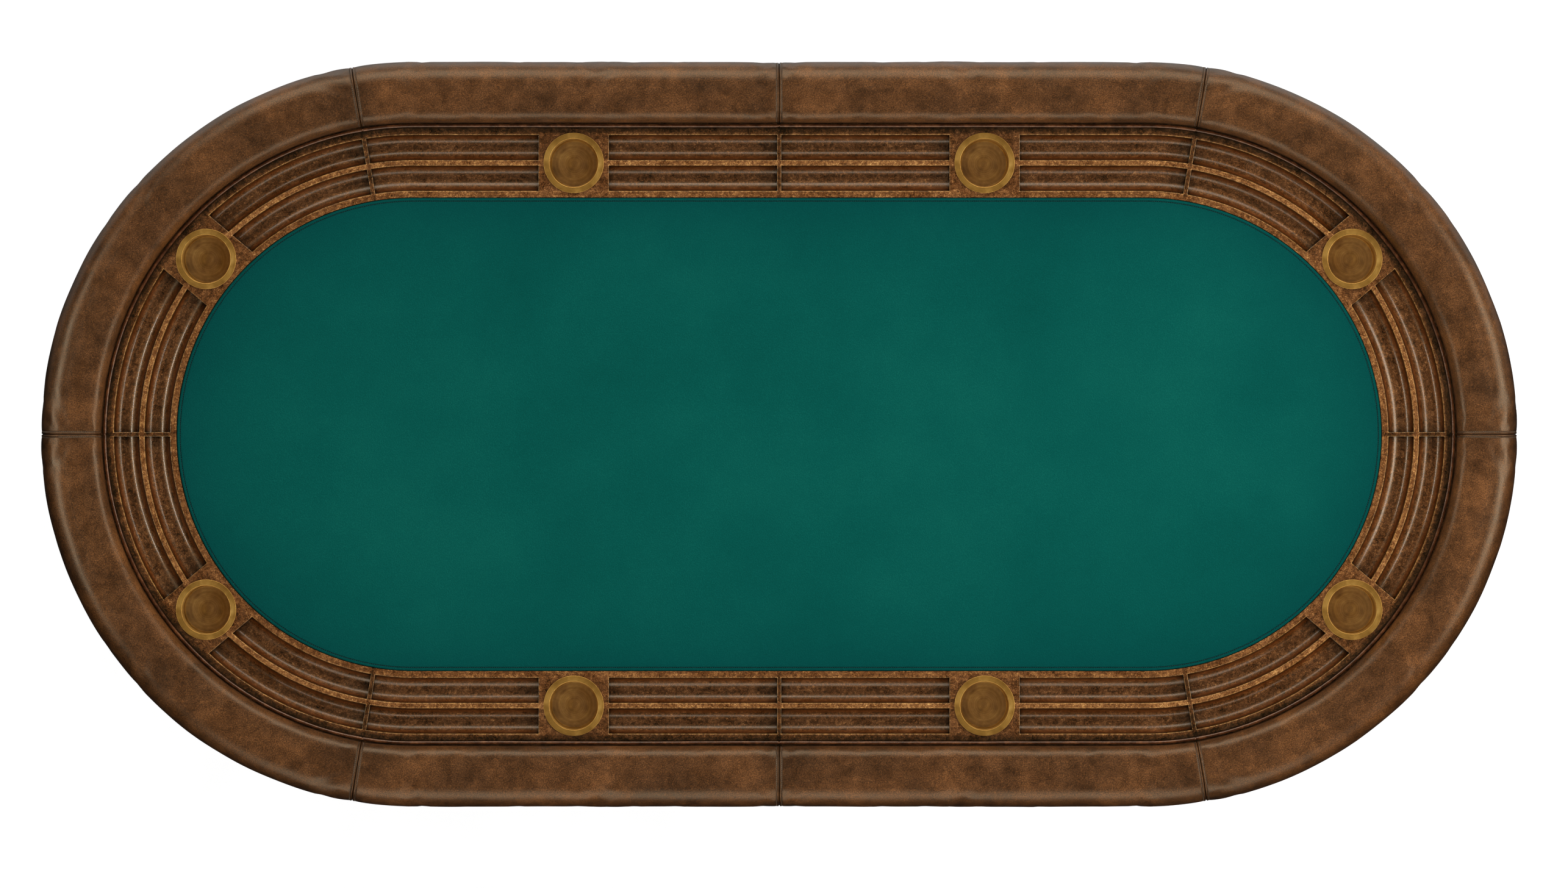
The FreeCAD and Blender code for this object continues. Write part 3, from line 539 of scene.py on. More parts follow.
def armrest_profile():
    """The leather's outer line in (radius, height), from its inner foot over the crown to its hem."""
    shoulder = ARMREST_TOP - CROWN_RISE
    inner = (ARMREST_INNER + INNER_ROUND, shoulder - INNER_ROUND)
    outer = (ARMREST_OUTER - OUTER_ROUND, shoulder - OUTER_ROUND)
    under = (ARMREST_OUTER - UNDER_ROUND, ARMREST_BOTTOM + UNDER_ROUND)
    crown_r = np.linspace(inner[0], outer[0], 13)[1:-1]
    middle, half = (inner[0] + outer[0]) / 2, (outer[0] - inner[0]) / 2
    crown_z = shoulder + CROWN_RISE * (1 - ((crown_r - middle) / half) ** 2)
    foot = [(ARMREST_INNER + 1.2 * MM, RAIL_TOP + 0.6 * MM), (ARMREST_INNER + 0.2 * MM, RAIL_TOP + 3 * MM)]
    hem = [(under[0] - HEM_WIDTH / 2 + 1 * MM, ARMREST_BOTTOM), (under[0] - HEM_WIDTH, ARMREST_BOTTOM)]
    return np.concatenate([
        foot,
        arc_points(inner, INNER_ROUND, 180, 90, 14),
        np.stack([crown_r, crown_z], axis=1),
        arc_points(outer, OUTER_ROUND, 90, 0, 20),
        arc_points(under, UNDER_ROUND, 0, -90, 9),
        hem,
    ])


PROFILE = armrest_profile()
PROFILE_STEP = np.linalg.norm(np.diff(PROFILE, axis=0), axis=1)
PROFILE_T = np.concatenate([[0], np.cumsum(PROFILE_STEP)])
PROFILE_LENGTH = PROFILE_T[-1]
PROFILE_SLOPE = np.gradient(PROFILE, PROFILE_T, axis=0)
PROFILE_NORMAL = np.stack([-PROFILE_SLOPE[:, 1], PROFILE_SLOPE[:, 0]], axis=1)
PROFILE_NORMAL /= np.linalg.norm(PROFILE_NORMAL, axis=1, keepdims=True)
ARMREST_TRACK = (ARMREST_INNER + ARMREST_OUTER) / 2
PANEL_SPANS = {seat: seat_span(seat, ARMREST_TRACK) for seat in SEATS}

# The swell of the leather comes from a cloth simulation of one side seat and one end seat. The sheet starts
# a little inside the plain profile. A share of its lift is kept, and eased towards a limit.
SWELL_START = 1.2 * MM
SWELL_SHARE = 0.5
SWELL_LIMIT = 2.4 * MM
SWELL_COLUMNS = 71
SWELL_ROWS = 31
SWELL_FRAMES = 20
FOAM_HOLD = 0.2
LEATHER_SHEET = {
    "vertex_group_mass": "sewn", "quality": 8, "mass": 0.3, "tension_stiffness": 25,
    "compression_stiffness": 25, "shear_stiffness": 12, "bending_stiffness": 3, "shrink_min": -0.004,
    "use_pressure": True, "uniform_pressure_force": 4.0,
}
SIDE_SEATS = {1: (1, 1), 4: (1, -1), 5: (-1, -1), 8: (-1, 1)}
END_SEATS = {2: (1, 1), 3: (1, -1), 6: (-1, -1), 7: (-1, 1)}
MIRRORED_SEATS = (3, 4, 7, 8)
SWELL = {}


def seam_shape(gap):
    """How far the leather sinks at a distance from a seam: groove, raised fold, stitch line and dip."""
    past_stitches = gap - SEAM_STITCH_OFFSET
    groove = 1.6 * MM * bell(gap, 0.6 * MM)
    fold = -0.55 * MM * bell(gap - 2.1 * MM, 1.0 * MM)
    stitch_line = 0.6 * MM * bell(past_stitches, 0.65 * MM)
    dip = 1.0 * MM * fade(np.maximum(past_stitches, 0), 10 * MM)
    return groove + fold + stitch_line + dip


def profile_surface(s, t):
    """Points and outward directions of the plain profile at s along the track and t along the profile."""
    cx, turn = stations(s, ARMREST_TRACK)
    radius, height = (np.interp(t, PROFILE_T, column) for column in PROFILE.T)
    out_r, out_z = (np.interp(t, PROFILE_T, column) for column in PROFILE_NORMAL.T)
    outward = np.stack(np.broadcast_arrays(out_r * np.sin(turn), out_r * np.cos(turn), out_z), axis=-1)
    return on_track(cx, turn, radius, height), outward


def sewn_sheet(points, faces, sewn, material):
    """A sheet for the cloth solver: sewn down at its border, held by the foam, pressed out from inside."""
    sheet = mesh_piece("sewn_sheet", points, faces, material)
    group = sheet.vertex_groups.new(name="sewn")
    group.add(list(range(len(points))), FOAM_HOLD, "REPLACE")
    group.add(sewn.tolist(), 1.0, "REPLACE")
    cloth = sheet.modifiers.new("cloth", "CLOTH").settings
    for setting, value in LEATHER_SHEET.items():
        setattr(cloth, setting, value)
    cloth.effector_weights.gravity = 0.0
    return sheet


def sewn_swell(seat, material):
    """How far padding pushes a seat's leather out of its plain profile, over a grid of length by profile."""
    start, end = PANEL_SPANS[seat]
    s = np.linspace(start, end, SWELL_COLUMNS)[:, None]
    t = np.linspace(0, PROFILE_LENGTH - HEM_WIDTH, SWELL_ROWS)[None, :]
    plain, outward = profile_surface(s, t)
    rest = plain - SWELL_START * outward
    number = np.arange(SWELL_COLUMNS * SWELL_ROWS).reshape(SWELL_COLUMNS, SWELL_ROWS)
    sewn = np.unique(np.concatenate([number[0], number[-1], number[:, 0], number[:, -1]]))
    sheet = sewn_sheet(rest.reshape(-1, 3), grid_faces(SWELL_COLUMNS, SWELL_ROWS), sewn, material)
    scene = bpy.context.scene
    for step in range(1, SWELL_FRAMES + 1):
        scene.frame_set(step)
    solved = sheet.evaluated_get(bpy.context.evaluated_depsgraph_get()).data
    moved = np.empty(len(solved.vertices) * 3)
    solved.vertices.foreach_get("co", moved)
    bpy.data.objects.remove(sheet)
    scene.frame_set(1)
    lift = np.sum((moved.reshape(rest.shape) - plain) * outward, axis=-1)
    return SWELL_LIMIT * np.tanh(SWELL_SHARE * lift / SWELL_LIMIT)


def reading_rows(count, place):
    """Rows of weights that read a smooth curve through an even run of samples, at places from 0 to 1."""
    x = np.clip(place, 0, 1) * (count - 1)
    k = np.minimum(x.astype(int), count - 2)
    f = x - k
    weights = (
        -f / 2 + f**2 - f**3 / 2,
        1 - 2.5 * f**2 + 1.5 * f**3,
        f / 2 + 2 * f**2 - 1.5 * f**3,
        -(f**2) / 2 + f**3 / 2,
    )
    rows = np.zeros((len(x), count))
    for step, weight in enumerate(weights):
        np.add.at(rows, (np.arange(len(x)), np.clip(k + step - 1, 0, count - 1)), weight)
    return rows


def swell_at(seat, s, t):
    """The simulated swell of a seat's leather, read from the side or end seat that it mirrors."""
    start, end = PANEL_SPANS[seat]
    share, across = np.broadcast_arrays((s - start) / (end - start), t / (PROFILE_LENGTH - HEM_WIDTH))
    if seat in MIRRORED_SEATS:
        share = 1 - share
    grid = SWELL[1 if seat in SIDE_SEATS else 2]
    along = reading_rows(SWELL_COLUMNS, share.ravel())
    round_profile = reading_rows(SWELL_ROWS, across.ravel())
    return np.sum((along @ grid) * round_profile, axis=1).reshape(share.shape)


def leather_relief(seat, s, gap, t):
    """How far the leather stands out of its profile, at s along the track and t along the profile."""
    foot_hold = 22 * MM
    free = np.clip(np.minimum(t / foot_hold, (PROFILE_LENGTH - t) / HEM_WIDTH), 0, 1)
    plain_swell = 0.9 * MM * (1 - fade(gap, 60 * MM))
    swell = swell_at(seat, s, t) if SWELL else plain_swell
    slack = 0.6 * MM * waves(s, t * 0.6, 0.26, seed=11) + 0.3 * MM * waves(s, t, 0.09, seed=12)
    near_foot = bell(t - 14 * MM, 9 * MM)
    in_places = waves(s, 0 * t, 0.3, seed=14) > 0
    creases = 0.5 * MM * near_foot * np.maximum(waves(s * 0.12, t, 0.011, seed=13), 0) * in_places
    return free * (swell + slack) - creases - seam_shape(gap)


def leather_surface(seat, s, t):
    """Points of a seat's leather at s and t, their outward directions, and their distances from a seam."""
    start, end = PANEL_SPANS[seat]
    gap = np.minimum(s - start, end - s)
    plain, outward = profile_surface(s, t)
    lift = leather_relief(seat, s, gap, t)
    return plain + outward * lift[..., None], outward, gap


def seat_stations(start, end):
    """Distances along a seat, 7 mm apart but close together at both of its seams."""
    at_groove = [0.01, 0.36, 0.71, 1.11, 1.61, 2.31, 3.01]
    at_stitches = [3.61, 4.01, 4.41, 4.91, 5.61]
    beyond = [6.81, 8.61, 11.01, 14.01, 18.01, 23.01, 29.01]
    near = np.array(at_groove + at_stitches + beyond) * MM
    count = int((end - start - 2 * near[-1]) / (7 * MM))
    middle = np.linspace(start + near[-1], end - near[-1], count)[1:-1]
    return np.concatenate([start + near, middle, (end - near)[::-1]])


def leather_burnish_and_shade(gap, t):
    """How dark the leather is made, from 0 to 1, partly painted shade, over the same places as
    leather_relief.
    """
    # Painted shade in the seam groove and along the stitch holes.
    in_groove = 0.9 * bell(gap, 0.5 * MM)
    stitch_line = 0.6 * bell(gap - SEAM_STITCH_OFFSET, 1.0 * MM)
    beside_seam = 0.22 * fade(gap, 12 * MM) + 0.14 * fade(gap, 45 * MM)
    # Painted shade at the inner foot, where the leather meets the welt.
    at_foot = 0.9 * fade(t, 7 * MM)
    facing_up = np.interp(t, PROFILE_T, PROFILE_NORMAL[:, 1])
    # Painted shade on the outer side, where the leather turns to face down.
    low_side = 0.65 * np.clip((0.82 - facing_up) / 0.5, 0, 1) * (t > PROFILE_LENGTH / 2)
    return np.clip(in_groove + stitch_line + beside_seam + at_foot + low_side, 0, 1)


def armrest_panel(seat, material):
    """One sewn leather panel, as a closed shell as thick as the leather."""
    s = seat_stations(*PANEL_SPANS[seat])[:, None]
    t = PROFILE_T[None, :]
    outer, outward, gap = leather_surface(seat, s, t)
    inner = outer - outward * LEATHER
    ring = np.concatenate([outer, inner[:, ::-1]], axis=1)
    burnish_and_shade = leather_burnish_and_shade(gap, t)
    burnish_and_shade = np.concatenate([burnish_and_shade, burnish_and_shade[:, ::-1]], axis=1)
    piece = sweep(f"leather_panel_{seat}", ring, material, {"burnish_and_shade": burnish_and_shade})
    ride_table(piece, "armrest_leather", f"armrest_cover_{seat}")


def stitches(name, centres, along, up, radius, material, sides):
    """Many small stitches in one mesh: a short rounded thread at each centre, lying along one direction."""
    steps = np.array([-0.5, -0.42, -0.2, 0.2, 0.42, 0.5])
    girth = np.array([0.15, 0.72, 1.0, 1.0, 0.72, 0.15])
    angles = np.arange(sides) * FULL_TURN / sides
    side = np.cross(along, up)
    across, upward = np.cos(angles)[:, None], np.sin(angles)[:, None]
    ring = (side[:, None] * across + up[:, None] * upward) * radius
    body = centres[:, None, None] + along[:, None, None] * (steps * STITCH_LENGTH)[:, None, None]
    body = body + ring[:, None] * girth[:, None, None]
    size = len(steps) * sides
    one = grid_faces(len(steps), sides, close_columns=True)
    one += [list(range(sides)), [size - 1 - i for i in range(sides)]]
    faces = [[corner + k * size for corner in face] for k in range(len(centres)) for face in one]
    return mesh_piece(name, body.reshape(-1, 3), faces, material)


def unit(v):
    """The vectors, each scaled to length 1."""
    return v / np.linalg.norm(v, axis=-1, keepdims=True)


def seam_stitches(material):
    """Two rows of topstitching beside every cross seam of the armrest."""
    t = np.arange(9 * MM, PROFILE_LENGTH - HEM_WIDTH - 4 * MM, STITCH_PITCH)
    step = 0.5 * MM
    rows = []
    for seat in SEATS:
        start, end = PANEL_SPANS[seat]
        for s, slant in ((start + SEAM_STITCH_OFFSET, 0.35), (end - SEAM_STITCH_OFFSET, -0.35)):
            row = np.full_like(t, s)
            here, outward, _ = leather_surface(seat, row, t)
            ahead, _, _ = leather_surface(seat, row, t + step)
            beside, _, _ = leather_surface(seat, row + step, t)
            along = unit(unit(ahead - here) + slant * unit(beside - here))
            rows.append((here + outward * 0.35 * MM, along, outward))
    centres, along, up = (np.concatenate(part) for part in zip(*rows))
    piece = stitches("armrest_stitching", centres, along, up, 0.55 * MM, material, sides=6)
    ride_table(piece, "welt_leather")


def welt(material):
    """The leather cord between armrest and rail, pinched a little at each seam."""
    length = track_length(WELT_TRACK)
    seams = np.array([seat_span(seat, WELT_TRACK)[0] for seat in SEATS] + [length])
    by_seams = [seams[:-1] + step * MM for step in (-4, -2, -1, -0.4, 0, 0.4, 1, 2, 4)]
    s = np.unique(np.concatenate([np.linspace(0, length, 900, endpoint=False), *by_seams]))
    s = s[(s >= 0) & (s < length - 1e-6)]
    gap = np.abs(s[:, None] - seams[None]).min(axis=1)
    swell = 1 + 0.06 * waves(s, 0 * s, 0.12, seed=21) - 0.28 * bell(gap, 1.1 * MM)
    sway = 0.35 * MM * waves(s, 0 * s, 0.35, seed=22)
    angle = np.linspace(0, FULL_TURN, 16, endpoint=False)
    radius = WELT_TRACK + sway[:, None] + WELT_RADIUS * swell[:, None] * np.cos(angle)
    height = RAIL_TOP + WELT_RADIUS * (1 + swell[:, None] * np.sin(angle))
    ring = on_track(*stations(s[:, None], WELT_TRACK), radius, height)
    piece = sweep("armrest_welt_cord", ring, material, closed=True)
    ride_table(piece, "welt_leather", "armrest_welt")


# ---- Chip rail ----
#
# The rail is built for seats 1 and 2, in the quarter where x and y are positive, and mirrored to the others.
# A place on it is a pair (p, r): p is the distance along the track measured at radius r itself.

WALL_ROUND = 0.8 * MM
PAD_PATCH_HALF = 51.0 * MM
BEFORE_WALL = np.array([-1.4, -0.8, -0.62, -0.4, -0.2, -0.06, 0.0]) * MM
AFTER_WALL = np.array([0.46, 0.9, 1.6, 3.0, 6.0, 11.0]) * MM


def cup_centre(seat):
    """Where the seat's cup stands, in plan."""
    low, high = CUPS[seat]
    return (low.x + high.x) / 2, (low.y + high.y) / 2


SIDE_CUP_X = cup_centre(1)[0]
END_CUP_TURN = math.atan2(cup_centre(2)[0] - HALF_STRAIGHT, cup_centre(2)[1])


def trough_drop(u):
    """Depth of a chip channel at a distance u from its middle: nearly a half circle, sharp at the rims."""
    radius = (TROUGH_HALF_WIDTH**2 + TROUGH_DEPTH**2) / (2 * TROUGH_DEPTH)
    bowl = np.sqrt(np.maximum(radius**2 - u**2, 0)) - (radius - TROUGH_DEPTH)
    return np.where(np.abs(u) < TROUGH_HALF_WIDTH, np.maximum(bowl, 0), 0)


def rim_rounded_drop(u):
    """The channel's depth with its two rims rounded."""
    return np.mean([trough_drop(u + k * RIM_SOFTNESS) for k in np.linspace(-1, 1, 9)], axis=0)


def end_drop(d):
    """Depth that an end wall leaves at a distance d inside it: a small round, then nearly upright."""
    on_round = np.clip(d + WALL_ROUND, 0, WALL_ROUND)
    return WALL_ROUND - np.sqrt(WALL_ROUND**2 - on_round**2) + 40 * np.maximum(d, 0)


def rail_rows():
    """Radii across the rail, close together at the channels' rims."""
    near_rim = [TROUGH_HALF_WIDTH / MM + k for k in (1.5, 0.9, 0.5, 0.2, -0.05, -0.3, -0.7, -1.3, -2.4)]
    reach = near_rim + [16.5, 13.0, 9.5, 6.0, 3.0]
    across = np.array([-k for k in reach] + [0] + reach[::-1]) * MM
    rows = [RAIL_INNER + k * MM for k in (0, 0.4, 1.2, 3.0, 5.5)]
    rows += [RAIL_MIDDLE + side * TROUGH_SPREAD + k for side in (-1, 1) for k in across]
    rows += [WELT_TRACK - k * MM for k in (9, 5, 4.2, 3.4, 2.6, 1.5)]
    rows += [RAIL_OUTER - k * MM for k in (4, 0)]
    tenth_of_micron = 7
    return np.unique(np.round(rows, tenth_of_micron))


ROWS = rail_rows()


def rail_lines(seat, r):
    """The seat's cross lines in order: seam, channel ends, pad edges, seam. Each is p at the radii r."""
    def at_turn(turn, offset=0.0):
        return HALF_STRAIGHT + r * (turn + np.arcsin(offset / r))

    if seat == 1:
        start = np.zeros_like(r)
        first_end = start + DIVIDER_HALF
        pad = [start + SIDE_CUP_X + side * CUP_PAD_HALF for side in (-1, 1)]
        last_turn = SEAM_TURN
    else:
        start = at_turn(SEAM_TURN)
        first_end = at_turn(SEAM_TURN, DIVIDER_HALF)
        pad = [at_turn(END_CUP_TURN, side * CUP_PAD_HALF) for side in (-1, 1)]
        last_turn = math.pi / 2
    return start, first_end, *pad, at_turn(last_turn, -DIVIDER_HALF), at_turn(last_turn)


def between(a, b, spacing):
    """Lines evenly spaced between two lines, leaving both out."""
    count = max(2, int(np.mean(b - a) / spacing))
    return [a + (b - a) * k / count for k in range(1, count)]


def rail_grid(seat):
    """The seat's grid of p, shape (columns, rows), and the columns where the cup's pad starts and ends."""
    seam_a, end_a, pad_a, pad_b, end_b, seam_b = rail_lines(seat, ROWS)
    bend = np.full_like(ROWS, HALF_STRAIGHT)

    def channel(a, b):
        near, far = a + AFTER_WALL[-1], b - AFTER_WALL[-1]
        if seat == 1 and a[0] < HALF_STRAIGHT < b[0]:
            inner = between(near, bend, 12 * MM) + [bend] + between(bend, far, 8 * MM)
        else:
            inner = between(near, far, 9 * MM)
        return [a + k for k in AFTER_WALL] + inner + [b - k for k in AFTER_WALL[::-1]]

    before, after = list(BEFORE_WALL), [-k for k in BEFORE_WALL[::-1]]
    columns = [seam_a] + [end_a + k for k in before]
    columns += channel(end_a, pad_a) + [pad_a + k for k in after]
    first_pad = len(columns)
    columns += between(pad_a + after[-1], pad_b + before[0], 6.5 * MM)
    last_pad = len(columns) - 1
    columns += [pad_b + k for k in before] + channel(pad_b, end_b)
    columns += [end_b + k for k in after] + [seam_b]
    return np.array(columns), first_pad, last_pad


def rail_places(seat, p, r):
    """How far each place is inside a channel's end walls, and how far from a channel's middle line."""
    _, end_a, pad_a, pad_b, end_b, _ = rail_lines(seat, r)
    d = np.maximum(np.minimum(p - end_a, pad_a - p), np.minimum(p - pad_b, end_b - p))
    u = np.abs(np.abs(r - RAIL_MIDDLE) - TROUGH_SPREAD)
    return d, u


def rail_tone(r, reach, depth, to_welt, on_divider):
    """How light the finish is: lightest on the rib, darker in the channels, by the welt and at the seams."""
    in_rib = np.abs(r - RAIL_MIDDLE) < 5 * MM
    by_cloth = r < RAIL_INNER + 12 * MM
    # On the flat, the drop towards the welt is painted shade beside the welt and armrest.
    flat = 0.47 + 0.15 * in_rib - 0.23 * to_welt + 0.08 * by_cloth - 0.12 * on_divider
    # Darker towards the channels' steep walls: painted shade.
    channel = 0.45 - 0.20 * np.clip(reach, 0, 1) ** 4
    return flat + (channel - flat) * np.clip(depth * 8, 0, 1)


def rail_painted_shade(r, d, past_rim, depth):
    """How much painted shade there is: at the channels' end walls, under their rims and beside the welt."""
    inside = np.clip(d / (0.3 * MM), 0, 1)
    from_end = np.maximum(d, 0)
    at_end = 0.9 * fade(from_end, 1.2 * MM) + 0.45 * fade(from_end, 12 * MM)
    under_rim = 0.6 * bell(past_rim + 1.6 * MM, 1.2 * MM)
    by_welt = 0.85 * bell(r - WELT_TRACK + WELT_RADIUS + 0.8 * MM, 1.2 * MM)
    return np.clip((at_end * np.clip(depth * 3, 0, 1) + under_rim) * inside + by_welt, 0, 1)


def rail_looks(seat, points):
    """Per-point values of the rail's finish: tone, red, worn and highlighted edge, painted shade and the
    place along the track.
    """
    past_bend = np.maximum(points[:, 0] - HALF_STRAIGHT, 0)
    r = np.hypot(past_bend, points[:, 1])
    turn = np.arctan2(past_bend, points[:, 1])
    p = np.minimum(points[:, 0], HALF_STRAIGHT) + r * turn
    height = points[:, 2]
    d, u = rail_places(seat, p, r)
    depth = np.clip((RAIL_TOP - height) / TROUGH_DEPTH, 0, 1)
    reach = u / TROUGH_HALF_WIDTH
    past_rim = u - TROUGH_HALF_WIDTH
    to_welt = np.clip((r - (WELT_TRACK - 13 * MM)) / (5 * MM), 0, 1)
    # The golden line along the rims and the end walls' tops, partly a painted highlight.
    rim = bell(past_rim - 0.3 * MM, 0.5 * MM) * (d > -1 * MM)
    wall_top = bell(d + 0.5 * MM, 0.3 * MM) * (past_rim < 0.4 * MM)
    start, *_, end = rail_lines(seat, r)
    on_divider = np.minimum(np.abs(p - start), np.abs(p - end)) < DIVIDER_HALF
    return {
        "tone": rail_tone(r, reach, depth, to_welt, on_divider),
        "red": np.clip(depth * 2, 0, 1) * bell(reach - 0.86, 0.13),
        "edge": np.clip(0.8 * rim * (1 - 0.4 * to_welt) + 0.5 * wall_top, 0, 1),
        "painted_shade": rail_painted_shade(r, d, past_rim, depth),
        "track": np.stack([p, r, height], axis=1),
    }


def rail_top(seat, p):
    """The rail's upper surface over its grid of places p."""
    r = np.broadcast_to(ROWS, p.shape)
    d, u = rail_places(seat, p, r)
    height = RAIL_TOP - np.minimum(rim_rounded_drop(u), end_drop(d))
    return on_track(np.minimum(p, HALF_STRAIGHT), np.maximum(p - HALF_STRAIGHT, 0) / r, r, height)


def grid_border(number, first_column, last_column, first_row, last_row):
    """Point numbers round a block of a grid, along its first row first."""
    block = number[first_column:last_column + 1, first_row:last_row + 1]
    sides = (block[:-1, 0], block[-1, :-1], block[:0:-1, -1], block[0, :0:-1])
    return np.concatenate(sides).tolist()


def rail_mesh(seat):
    """Points and faces of the rail at seat 1 or 2, with the cup's hole through it."""
    p, first_pad, last_pad = rail_grid(seat)
    columns, rows = p.shape
    points = list(rail_top(seat, p).reshape(-1, 3))
    number = np.arange(columns * rows).reshape(columns, rows)
    row_a, row_b = (
        int(np.argmin(np.abs(ROWS - (RAIL_MIDDLE + side * PAD_PATCH_HALF)))) for side in (-1, 1)
    )

    def add(xy, z):
        points.append(np.array([*xy, z]))
        return len(points) - 1

    faces = []
    for c in range(columns - 1):
        for k in range(rows - 1):
            if not (first_pad <= c < last_pad and row_a <= k < row_b):
                faces.append(number[[c, c, c + 1, c + 1], [k, k + 1, k + 1, k]].tolist())

    loop = grid_border(number, first_pad, last_pad, row_a, row_b)
    centre = np.array(cup_centre(seat))
    spokes = [points[k][:2] - centre for k in loop]
    for share in (0.35, 0.7, 1.0):
        reach = [1 - share + share * CUP_HOLE_RADIUS / np.linalg.norm(spoke) for spoke in spokes]
        ring = [add(centre + spoke * k, RAIL_TOP) for spoke, k in zip(spokes, reach)]
        faces += strip(loop, ring)
        loop = ring
    bottom_hole = [add(points[k][:2], RAIL_BOTTOM) for k in loop]
    faces += strip(loop, bottom_hole)

    outline = grid_border(number, 0, columns - 1, 0, rows - 1)
    bottom = [add(points[k][:2], RAIL_BOTTOM) for k in outline]
    faces += strip(bottom, outline)
    faces += floor_with_hole(bottom, bottom_hole, points)
    return np.array(points), faces


def strip(a, b):
    """Quads between two closed loops of point numbers of the same length."""
    return [list(corners) for corners in zip(a, a[1:] + a[:1], b[1:] + b[:1], b)]


def floor_with_hole(outline, hole, points):
    """Two flat faces that fill an outline round a hole, split where the outline is nearest its ends."""
    half = len(hole) // 2
    spots = np.array([points[k][:2] for k in outline])
    cuts = [int(np.argmin(np.linalg.norm(spots - points[hole[h]][:2], axis=1))) for h in (0, half)]
    count = len(outline)

    def run(a, b):
        return [outline[(a + k) % count] for k in range((b - a) % count + 1)]

    one = run(cuts[0], cuts[1]) + hole[half::-1]
    two = run(cuts[1], cuts[0]) + [hole[0]] + hole[:half - 1:-1]
    return [one[::-1], two[::-1]]


def chip_rail(material):
    """The eight rail sections, from two made ones. Each has its own stretch of the streaked finish."""
    streak_shift = np.array([3.7, 0, 0])
    for base, seats in ((1, SIDE_SEATS), (2, END_SEATS)):
        points, faces = rail_mesh(base)
        values = rail_looks(base, points)
        for seat, (x_sign, y_sign) in seats.items():
            moved = points * np.array([x_sign, y_sign, 1])
            turned = [f[::-1] for f in faces] if x_sign * y_sign < 0 else faces
            shifted = {**values, "track": values["track"] + seat * streak_shift}
            piece = mesh_piece(f"rail_section_{seat}", moved, turned, material, shifted)
            ride_table(piece, "rail_wood", f"chip_rail_{seat}")


# ---- Cup holders ----


def cup_profile(top, bottom):
    """The cup's half section in (radius, height), outside first, and 1 for each point that is inside."""
    flange, wall = CUP_FLANGE_RADIUS, CUP_HOLE_RADIUS - 1 * MM
    mouth, floor_radius = wall - 1.3 * MM, wall - 1.9 * MM
    under = RAIL_TOP + 0.02 * MM
    floor = bottom + CUP_WALL
    outside = [
        [(0, bottom)],
        arc_points((wall - 6 * MM, bottom + 6 * MM), 6 * MM, -90, 0, 7),
        [(wall, under), (flange - 0.5 * MM, under), (flange, under + 0.5 * MM)],
        arc_points((flange - 0.9 * MM, top - 0.9 * MM), 0.9 * MM, 0, 90, 6),
        [(flange - 1.6 * MM, top), (flange - 5 * MM, top - 0.05 * MM), (wall + 0.6 * MM, top)],
        arc_points((wall + 0.4 * MM, top - 1.7 * MM), 1.7 * MM, 90, 180, 6),
    ]
    inside = [
        [(mouth, top - 4 * MM), (floor_radius, floor + 4 * MM)],
        arc_points((floor_radius - 3 * MM, floor + 3 * MM), 3 * MM, 0, -90, 7)[1:],
        [(27 * MM, floor + 0.1 * MM), (26.2 * MM, floor - 0.25 * MM), (9 * MM, floor - 0.3 * MM)],
        [(8.2 * MM, floor - 0.05 * MM), (0, floor + 0.1 * MM)],
    ]
    outer, inner = np.concatenate(outside), np.concatenate(inside)
    return np.concatenate([outer, inner]), np.repeat([0.0, 1.0], [len(outer), len(inner)])


def cup_holder(seat, material):
    """One spun cup, built round its own axis so that its finish turns with it."""
    low, high = CUPS[seat]
    profile, inside = cup_profile(high.z, low.z)
    profile[:, 1] -= high.z
    around = 96
    angles = (np.arange(around) * FULL_TURN / around)[:, None]
    radius, height = profile[1:-1].T
    count = len(radius)
    spun = np.broadcast_arrays(radius * np.cos(angles), radius * np.sin(angles), height)
    poles = [[0, 0, profile[0, 1]], [0, 0, profile[-1, 1]]]
    points = np.concatenate([np.stack(spun, axis=-1).reshape(-1, 3), poles])
    faces = grid_faces(around, count, close_rows=True)
    last = len(points) - 1
    for i in range(around):
        here, there = i * count, (i + 1) % around * count
        faces.append([last - 1, there, here])
        faces.append([last, here + count - 1, there + count - 1])
    values = np.concatenate([np.tile(inside[1:-1], around), [0, 1]])
    piece = mesh_piece(f"brass_cup_{seat}", points, faces, material, {"inside": values})
    piece.location = (*cup_centre(seat), high.z)
    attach(piece, f"cup_{seat}")
    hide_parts(f"cup_holder_{seat}")


# ---- Playing surface ----

CLOTH_GROOVE = 5.3 * MM
CLOTH_ROLL = 3.0 * MM
CLOTH_STITCH_PITCH = 3.6 * MM


def cloth_rings():
    """(inset from the edge, height) of the cloth's rings, from the hem up over the roll to the middle."""
    skirt = [(0.0, CLOTH_BOTTOM), (0.0, CLOTH_TOP - 12 * MM), (0.0, CLOTH_TOP - 5 * MM)]
    roll = arc_points((CLOTH_ROLL, CLOTH_TOP - CLOTH_ROLL), CLOTH_ROLL, 180, 90, 7)
    dip = ((-1.2, 0.0), (-0.75, 0.12), (-0.4, 0.55), (0.0, 0.95), (0.4, 0.55), (0.75, 0.12), (1.3, 0.0))
    groove = [(CLOTH_GROOVE + k * MM, CLOTH_TOP - drop * MM) for k, drop in dip]
    flat = [(k * MM, CLOTH_TOP) for k in (9, 13, 20, 32)]
    wide = [(k, CLOTH_TOP) for k in np.linspace(50 * MM, CLOTH_RADIUS, 16)]
    return np.concatenate([skirt, roll, groove, flat, wide])


